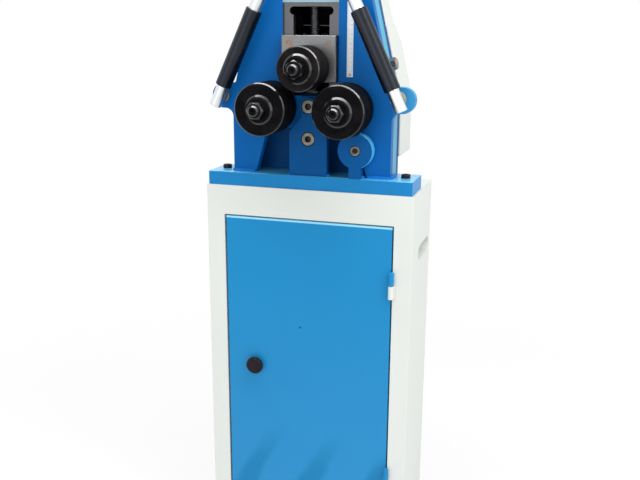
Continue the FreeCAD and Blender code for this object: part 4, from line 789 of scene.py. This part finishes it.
def thread_height(along, pitch, columns, crest, slope):
    """A right-hand thread's height from 0 at the root to 1 at the crest, by length and angle.

    The phase is s / pitch - a / 2 pi; over one phase the height is flat at the crest, falls, is flat at
    the root and rises, as a trapezoid."""
    angle = np.linspace(0.0, 1.0, columns, endpoint=False)[None, :]
    phase = np.mod(np.asarray(along)[:, None] / pitch - angle, 1.0)
    distance = np.abs(phase - 0.5)
    return np.clip((distance - (0.5 - crest / 2.0 - slope)) / slope, 0.0, 1.0)


def weld_bead(name, start, end, radius, ripple, material, seed):
    """A weld bead: a tube along a straight line.

    Its radius is R (1 + ripple height |sin(pi s / ripple)| + smoothed noise), times the root that rounds
    off a circle over the last R at each end."""
    start, end = np.array(start, float), np.array(end, float)
    length = np.linalg.norm(end - start)
    rows = max(WELD_LEAST_ROWS, int(length / (ripple / WELD_ROWS_PER_RIPPLE)))
    along = np.linspace(0.0, length, rows)
    drift = np.random.default_rng(seed).normal(0.0, 1.0, (rows, WELD_COLUMNS))
    for _ in range(WELD_SMOOTHING):
        drift = (drift + np.roll(drift, 1, 0) + np.roll(drift, -1, 0)
                 + np.roll(drift, 1, 1) + np.roll(drift, -1, 1)) / 5.0
    reach = np.minimum(1.0, np.minimum(along, length - along) / radius + WELD_END)
    ripples = 1.0 + WELD_RIPPLE_HEIGHT * np.abs(np.sin(math.pi * along / ripple))
    radii = radius * ripples[:, None] + drift * radius * WELD_UNEVENNESS
    radii = radii * np.sqrt(1.0 - (1.0 - reach) ** 2)[:, None]
    points = lathe_points(along, radii, start, (end - start) / length, WELD_COLUMNS)
    return mesh_object(name, points, tube_faces(rows, WELD_COLUMNS), material)


# ---- Operators ----

def dress(material, *nodes):
    """Give CAD nodes a finish."""
    for node in nodes:
        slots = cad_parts[node].data.materials
        slots.clear()
        slots.append(material)


class ROLLER_OT_cabinet(bpy.types.Operator):
    """Dress the cabinet, its door, hinges and knob"""
    bl_idname = "roller.cabinet"
    bl_label = "Cabinet"
    bl_options = {"REGISTER", "UNDO"}

    def execute(self, context):
        paint = colours()
        white = powder_coat("cabinet_coat", tuple(paint.cabinet), grain=480.0, gloss=0.42,
                            edge=1.5 * MM, grime=0.25)
        dress(white, "cabinet_front", "cabinet_sides", "cabinet_panels", "cabinet_hinge_halves")
        dress(door_coat("door_coat", tuple(paint.door)), "cabinet_door", "door_hinge_halves")
        dress(moulded("knob_plastic", KNOB_BLACK), "door_knob")
        zinc = plated("latch_zinc", tuple(paint.zinc), rough=0.35, scale=60.0, tarnish=0.5)
        dress(zinc, "door_latch_cam", "hinge_pins")
        return {"FINISHED"}


class ROLLER_OT_frame(bpy.types.Operator):
    """Dress the painted machine frame and its covers"""
    bl_idname = "roller.frame"
    bl_label = "Machine frame"
    bl_options = {"REGISTER", "UNDO"}

    def execute(self, context):
        paint = colours()
        machine = tuple(paint.machine)
        # The rear plate and bracket take the machine blue at 0.6, the lug at 0.7: painted shade under the
        # rollers.
        dress(enamel("frame_enamel_shaded", shade(machine, 0.6), gloss=0.06), "rear_plate", "centre_bracket")
        dress(enamel("lug_enamel_shaded", shade(machine, 0.7), gloss=0.06, pale=lug_rim), "guide_lug")
        dress(enamel("front_plate_enamel", machine, gloss=0.06, steel_colour=tuple(paint.recess),
                     pale=right_ear), "front_plate")
        dress(enamel("base_enamel", tuple(paint.base), gloss=0.15, pale=base_face, glaze=0.8), "base_plate")
        # The side walls and cap take the paler wall blue: painted light.
        wall = enamel("wall_enamel", tuple(paint.wall), gloss=0.4)
        dress(wall, "left_side_wall", "right_side_wall", "top_cap")
        white = powder_coat("cover_coat", shade(tuple(paint.cabinet), 0.97), grain=420.0, gloss=0.45,
                            edge=1.2 * MM, grime=0.0, painted_shade=covers_inside)
        dress(white, "gear_case", "upper_cover")
        return {"FINISHED"}


class ROLLER_OT_rollers(bpy.types.Operator):
    """Dress the three rollers, their shafts and nuts"""
    bl_idname = "roller.rollers"
    bl_label = "Rollers"
    bl_options = {"REGISTER", "UNDO"}

    def execute(self, context):
        black = tuple(colours().black)
        browned = tuple(colours().browned)
        for name, axis in ROLLERS:
            centre = (axis[0], axis[2])
            rim = half_height(name + "_rings")
            collar = half_height(name + "_collar")
            nut = half_height(name + "_nut")
            back = low_corner(name + "_rings")[1] + BEVEL_DEPTH
            ring_colour = browned if name == "upper" else black
            for finish, node, colour, inner, outer in (
                    ("_ring_black", "_rings", ring_colour, rim - RING_BEVEL, rim),
                    ("_collar_black", "_collar", black, collar - COLLAR_BEVEL, collar),
                    ("_nut_black", "_nut", black, nut * NUT_BEVEL[0], nut * NUT_BEVEL[1]),
                    ("_shaft_black", "_shaft", black, *SHAFT_BEVEL)):
                dress(black_rings(name + finish, colour, centre, inner, outer, back), name + node)
        return {"FINISHED"}


class ROLLER_OT_metals(bpy.types.Operator):
    """Dress screws, slide, gears, bushes and handles"""
    bl_idname = "roller.metals"
    bl_label = "Metal parts"
    bl_options = {"REGISTER", "UNDO"}

    def execute(self, context):
        paint = colours()
        zinc = plated("zinc", tuple(paint.zinc), rough=0.32, scale=70.0, tarnish=0.6)
        dress(zinc, "side_bolts", "scale_screws", "left_lever_pin", "right_lever_pin")
        low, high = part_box("bracket_screws")
        centres = [(0.0, low[2] + BRACKET_HEAD), (0.0, high[2] - BRACKET_HEAD)]
        # Darker zinc for the bracket and lug screws: a duller, tarnished plating and painted shade under
        # the rollers.
        dull_shaded_zinc = shade(tuple(paint.zinc), 0.6)
        dress(sunk_screws("bracket_zinc", dull_shaded_zinc, centres, BRACKET_SOCKET), "bracket_screws")
        dress(sunk_screws("lug_zinc", dull_shaded_zinc, [(LUG_AXIS[0], LUG_AXIS[2])], LUG_SOCKET), "lug_screw")
        dress(moulded("black_screws", SCREW_BLACK), "black_screws")
        bronze = plated("bronze", BRONZE, rough=0.33, scale=50.0, tarnish=0.5)
        dress(bronze, "feed_nut", "plate_bushes", "upper_bush")
        turned = plated("turned_steel", TURNED_STEEL, rough=0.33, scale=60.0, tarnish=0.5)
        dress(turned, "star_hub", "star_arms", "drive_pinion", "lower_left_gear", "lower_right_gear",
              "upper_shaft_ring")
        bar = plated("lever_bar", tuple(paint.bar), rough=0.28, scale=40.0, tarnish=0.15)
        dress(bar, "left_lever_tube", "right_lever_tube")
        dress(foam("grip_foam", tuple(paint.foam)), "left_lever_grip", "right_lever_grip")
        dress(moulded("star_plastic", STAR_BLACK), "star_knobs")
        screw_z = SLIDE_TOP - SLIDE_SCREW_DROP
        rust_spots = ((-SLIDE_SCREW_X, screw_z, 15.0 * MM, 0.95), (SLIDE_SCREW_X, screw_z, 9.0 * MM, 0.6))
        dress(ground_steel("slide_steel", tuple(paint.steel), rust_spots), "slide_block", "slide_keeper",
              "slide_screws", "screw_retainer")
        dress(enamel("motor_enamel", tuple(paint.motor)), "gearbox_housing", "drive_motor")
        dress(rule_finish("rule_face"), "scale_rule")
        return {"FINISHED"}


class ROLLER_OT_welds(bpy.types.Operator):
    """Weld beads round the foot of the frame"""
    bl_idname = "roller.welds"
    bl_label = "Welds"
    bl_options = {"REGISTER", "UNDO"}

    def execute(self, context):
        material = enamel("weld_enamel", shade(tuple(colours().machine), 1.25))
        radius = sizes().weld_radius
        bracket_low, bracket_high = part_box("centre_bracket")
        lug_low, lug_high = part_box("guide_lug")
        lug_middle = (lug_low[0] + lug_high[0]) / 2.0
        back = FRAME_BACK - SIDE_WELD_STOP
        lines = []
        for side in (-1, 1):
            wall = side * WALL_X
            bracket = side * bracket_high[0]
            neck = lug_middle + side * LUG_NECK_HALF_WIDTH
            lines += [((side * FOOT_ARCH_HALF_WIDTH, PLATE_FACE), (wall, PLATE_FACE)),
                      ((wall, PLATE_FACE), (wall, back)),
                      ((bracket, bracket_low[1]), (bracket, PLATE_FACE)),
                      ((neck, lug_low[1] + radius), (neck, lug_high[1]))]
        for index, (start, end) in enumerate(lines):
            bead = weld_bead("weld_bead_%d" % index, (*start, BASE_TOP), (*end, BASE_TOP), radius,
                             sizes().weld_ripple, material, WELD_FIRST_SEED + index)
            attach(bead, "stand")
        return {"FINISHED"}


class ROLLER_OT_feed_screw(bpy.types.Operator):
    """The feed screw with its trapezoidal thread"""
    bl_idname = "roller.feed_screw"
    bl_label = "Feed screw"
    bl_options = {"REGISTER", "UNDO"}

    def execute(self, context):
        low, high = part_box("feed_screw")
        base = ((low[0] + high[0]) / 2.0, (low[1] + high[1]) / 2.0, low[2])
        length = high[2] - low[2]
        pitch = sizes().feed_pitch
        depth = sizes().feed_depth
        root = FEED_CREST - depth
        narrow = FEED_COLLAR_RADIUS - FEED_COLLAR_BEVEL
        spigot = length - FEED_SPIGOT
        thread = np.arange(FEED_COLLAR + THREAD_GAP, spigot - THREAD_GAP, pitch / THREAD_ROWS_PER_TURN)
        fade = np.minimum(1.0, np.minimum(thread - thread[0], thread[-1] - thread) / (FEED_FADE * pitch))
        height = thread_height(thread, pitch, THREAD_COLUMNS, *FEED_SHARES) * fade[:, None]
        foot = ((0.0, narrow), (FEED_COLLAR_BEVEL, FEED_COLLAR_RADIUS),
                (FEED_COLLAR - FEED_COLLAR_BEVEL, FEED_COLLAR_RADIUS), (FEED_COLLAR, narrow),
                (FEED_COLLAR, root))
        top = ((spigot, root), (spigot, FEED_SPIGOT_RADIUS), (length, FEED_SPIGOT_RADIUS))
        along = [s for s, _ in foot] + thread.tolist() + [s for s, _ in top]
        radius = np.vstack([np.full(THREAD_COLUMNS, r) for _, r in foot] + [root + depth * height]
                           + [np.full(THREAD_COLUMNS, r) for _, r in top])
        points = lathe_points(along, radius, base, (0, 0, 1), THREAD_COLUMNS)
        material = plated("feed_steel", FEED_STEEL, rough=0.36, scale=60.0, tarnish=0.5)
        screw = mesh_object("feed_screw_thread", points, tube_faces(len(along), THREAD_COLUMNS), material)
        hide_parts("feed_screw")
        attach(screw, "screw")
        return {"FINISHED"}


class ROLLER_OT_tips(bpy.types.Operator):
    """The threads that show on the three shaft tips"""
    bl_idname = "roller.tips"
    bl_label = "Shaft tips"
    bl_options = {"REGISTER", "UNDO"}

    def execute(self, context):
        for name, axis in ROLLERS:
            start = low_corner(name + "_shaft")[1] + sizes().tip_bevel + THREAD_GAP
            nut = low_corner(name + "_nut")[1]
            along = np.linspace(0.0, nut - start + TIP_OVERLAP, TIP_ROWS)
            fade = np.minimum(1.0, along / TIP_FADE)
            height = thread_height(along, sizes().tip_pitch, THREAD_COLUMNS, *TIP_SHARES) * fade[:, None]
            outer = TIP_ROOT + TIP_DEPTH * height
            radius = np.vstack([outer, np.full_like(outer, TIP_BORE)])
            along = np.concatenate([along, along[::-1]])
            points = lathe_points(along, radius, (axis[0], start, axis[2]), (0, 1, 0), THREAD_COLUMNS)
            material = plated(name + "_tip_black", TIP_BLACK, rough=0.38, scale=90.0, tarnish=0.4)
            thread = mesh_object(name + "_tip_thread", points, loop_faces(len(along), THREAD_COLUMNS),
                                 material)
            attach(thread, "upper_roller" if name == "upper" else name + "_roller")
        return {"FINISHED"}


class ROLLER_OT_rule_numbers(bpy.types.Operator):
    """Plain numbers on the rule"""
    bl_idname = "roller.rule_numbers"
    bl_label = "Rule numbers"
    bl_options = {"REGISTER", "UNDO"}

    def execute(self, context):
        low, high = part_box("scale_rule")
        upright = Matrix.Rotation(math.pi / 2.0, 4, "X")
        scene = bpy.context.scene
        work = bmesh.new()
        for index in range(sizes().rule_numbers):
            text = bpy.data.curves.new("rule_number_%d" % index, "FONT")
            text.body = str(index)
            text.size = NUMBER_HEIGHT
            text.extrude = NUMBER_EXTRUDE
            text.align_x = "CENTER"
            text.align_y = "CENTER"
            holder = bpy.data.objects.new(text.name, text)
            scene.collection.objects.link(holder)
            bpy.context.view_layer.update()
            drawn = holder.evaluated_get(bpy.context.evaluated_depsgraph_get())
            mesh = bpy.data.meshes.new_from_object(drawn)
            bpy.data.objects.remove(holder)
            place = Vector((high[0] - NUMBER_INSET, low[1] - NUMBER_RAISE,
                            low[2] + RULE_ZERO + NUMBER_STEP * index))
            mesh.transform(Matrix.Translation(place) @ upright)
            work.from_mesh(mesh)
            bpy.data.meshes.remove(mesh)
        joined = bpy.data.meshes.new("rule_numbers")
        work.to_mesh(joined)
        work.free()
        joined.materials.clear()
        joined.materials.append(marking_ink("rule_ink"))
        piece = bpy.data.objects.new("rule_numbers", joined)
        scene.collection.objects.link(piece)
        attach(piece, "stand")
        return {"FINISHED"}


class ROLLER_OT_stage(bpy.types.Operator):
    """Camera, lamps, floor and white surround"""
    bl_idname = "roller.stage"
    bl_label = "Stage"
    bl_options = {"REGISTER", "UNDO"}

    def execute(self, context):
        self.make_camera()
        self.make_floor()
        self.make_lamps()
        self.make_world()
        return {"FINISHED"}

    def make_camera(self):
        """The camera stands a little above the rollers, to the right, and looks down."""
        yaw, pitch, roll = (math.radians(angle) for angle in CAMERA_TURN)
        lens = bpy.data.cameras.new("camera")
        lens.sensor_width = CAMERA_SENSOR
        lens.lens = CAMERA_LENS
        lens.clip_start, lens.clip_end = CAMERA_CLIP
        camera = bpy.data.objects.new("camera", lens)
        turn = (Matrix.Rotation(yaw, 4, "Z") @ Matrix.Rotation(math.pi / 2.0 - pitch, 4, "X")
                @ Matrix.Rotation(roll, 4, "Z"))
        camera.matrix_world = Matrix.Translation(CAMERA_PLACE) @ turn
        bpy.context.scene.collection.objects.link(camera)
        bpy.context.scene.camera = camera

    def make_floor(self):
        """A pale floor that shows as white and keeps the machine's shadow."""
        finish = Finish("floor_white")
        tone = finish.mix(finish.noise(3.0, 3.0), *FLOOR_TONES)
        diffuse = finish.node("ShaderNodeBsdfDiffuse", {}, {"Color": tone})
        glow = finish.node("ShaderNodeEmission", {}, {"Color": (1.0, 1.0, 1.0), "Strength": 1.0})
        away = (finish.x * finish.x + finish.y * finish.y) ** 0.5
        white = FLOOR_GLOW_NEAR + away.rise(*FLOOR_GLOW_REACH) * (1.0 - FLOOR_GLOW_NEAR)
        mixed = finish.node("ShaderNodeMixShader", {}, {0: finish.seen_directly() * white,
                                                        1: diffuse.outputs[0], 2: glow.outputs[0]})
        finish.node("ShaderNodeOutputMaterial", {}, {"Surface": mixed.outputs[0]})
        half = FLOOR_HALF_WIDTH
        points = np.array([[-half, -half, 0], [half, -half, 0], [half, half, 0], [-half, half, 0]])
        floor = mesh_object("floor", points, [[0, 1, 2, 3]], finish.material, False)

    def make_lamps(self):
        """Each lamp is a rectangle that faces its target."""
        for name, place, target, width, depth, power in LAMPS:
            data = bpy.data.lights.new(name, "AREA")
            data.shape = "RECTANGLE"
            data.size = width
            data.size_y = depth
            data.energy = power
            lamp = bpy.data.objects.new(name, data)
            aim = (Vector(target) - Vector(place)).to_track_quat("-Z", "Y").to_matrix().to_4x4()
            lamp.matrix_world = Matrix.Translation(place) @ aim
            bpy.context.scene.collection.objects.link(lamp)

    def make_world(self):
        """White where the camera, gloss or glass looks past the machine, a softer white as light."""
        world = bpy.data.worlds.new("surround")
        bpy.context.scene.world = world
        world.use_nodes = True
        nodes = Nodes(world.node_tree)
        strength = nodes.node("ShaderNodeMapRange", {}, {"Value": nodes.seen_directly(),
                                                         "To Min": WORLD_LIGHT, "To Max": 1.0})
        background = nodes.node("ShaderNodeBackground", {}, {"Color": (1.0, 1.0, 1.0),
                                                             "Strength": strength.outputs["Result"]})
        nodes.node("ShaderNodeOutputWorld", {}, {"Surface": background.outputs[0]})
        bpy.context.scene.view_settings.view_transform = "Standard"


PIECES = (ROLLER_OT_cabinet, ROLLER_OT_frame, ROLLER_OT_rollers, ROLLER_OT_metals, ROLLER_OT_welds,
          ROLLER_OT_feed_screw, ROLLER_OT_tips, ROLLER_OT_rule_numbers, ROLLER_OT_stage)


class ROLLER_PT_panel(bpy.types.Panel):
    """Panel in the 3D view's sidebar"""
    bl_idname = "ROLLER_PT_panel"
    bl_label = "Ring Roller"
    bl_space_type = "VIEW_3D"
    bl_region_type = "UI"
    bl_category = "Ring Roller"

    def draw(self, context):
        for piece in PIECES:
            self.layout.operator(piece.bl_idname)
        for group in (context.scene.roller_colours, context.scene.roller_sizes):
            for key in group.bl_rna.properties.keys():
                if key not in ("rna_type", "name"):
                    self.layout.prop(group, key)


CLASSES = (RollerColours, RollerSizes, *PIECES, ROLLER_PT_panel)


def register():
    for item in CLASSES:
        bpy.utils.register_class(item)
    bpy.types.Scene.roller_colours = PointerProperty(type=RollerColours)
    bpy.types.Scene.roller_sizes = PointerProperty(type=RollerSizes)


def unregister():
    del bpy.types.Scene.roller_sizes
    del bpy.types.Scene.roller_colours
    for item in reversed(CLASSES):
        bpy.utils.unregister_class(item)


def main():
    register()
    for piece in PIECES:
        group, name = piece.bl_idname.split(".")
        getattr(getattr(bpy.ops, group), name)()


if __name__ == "__main__":
    main()
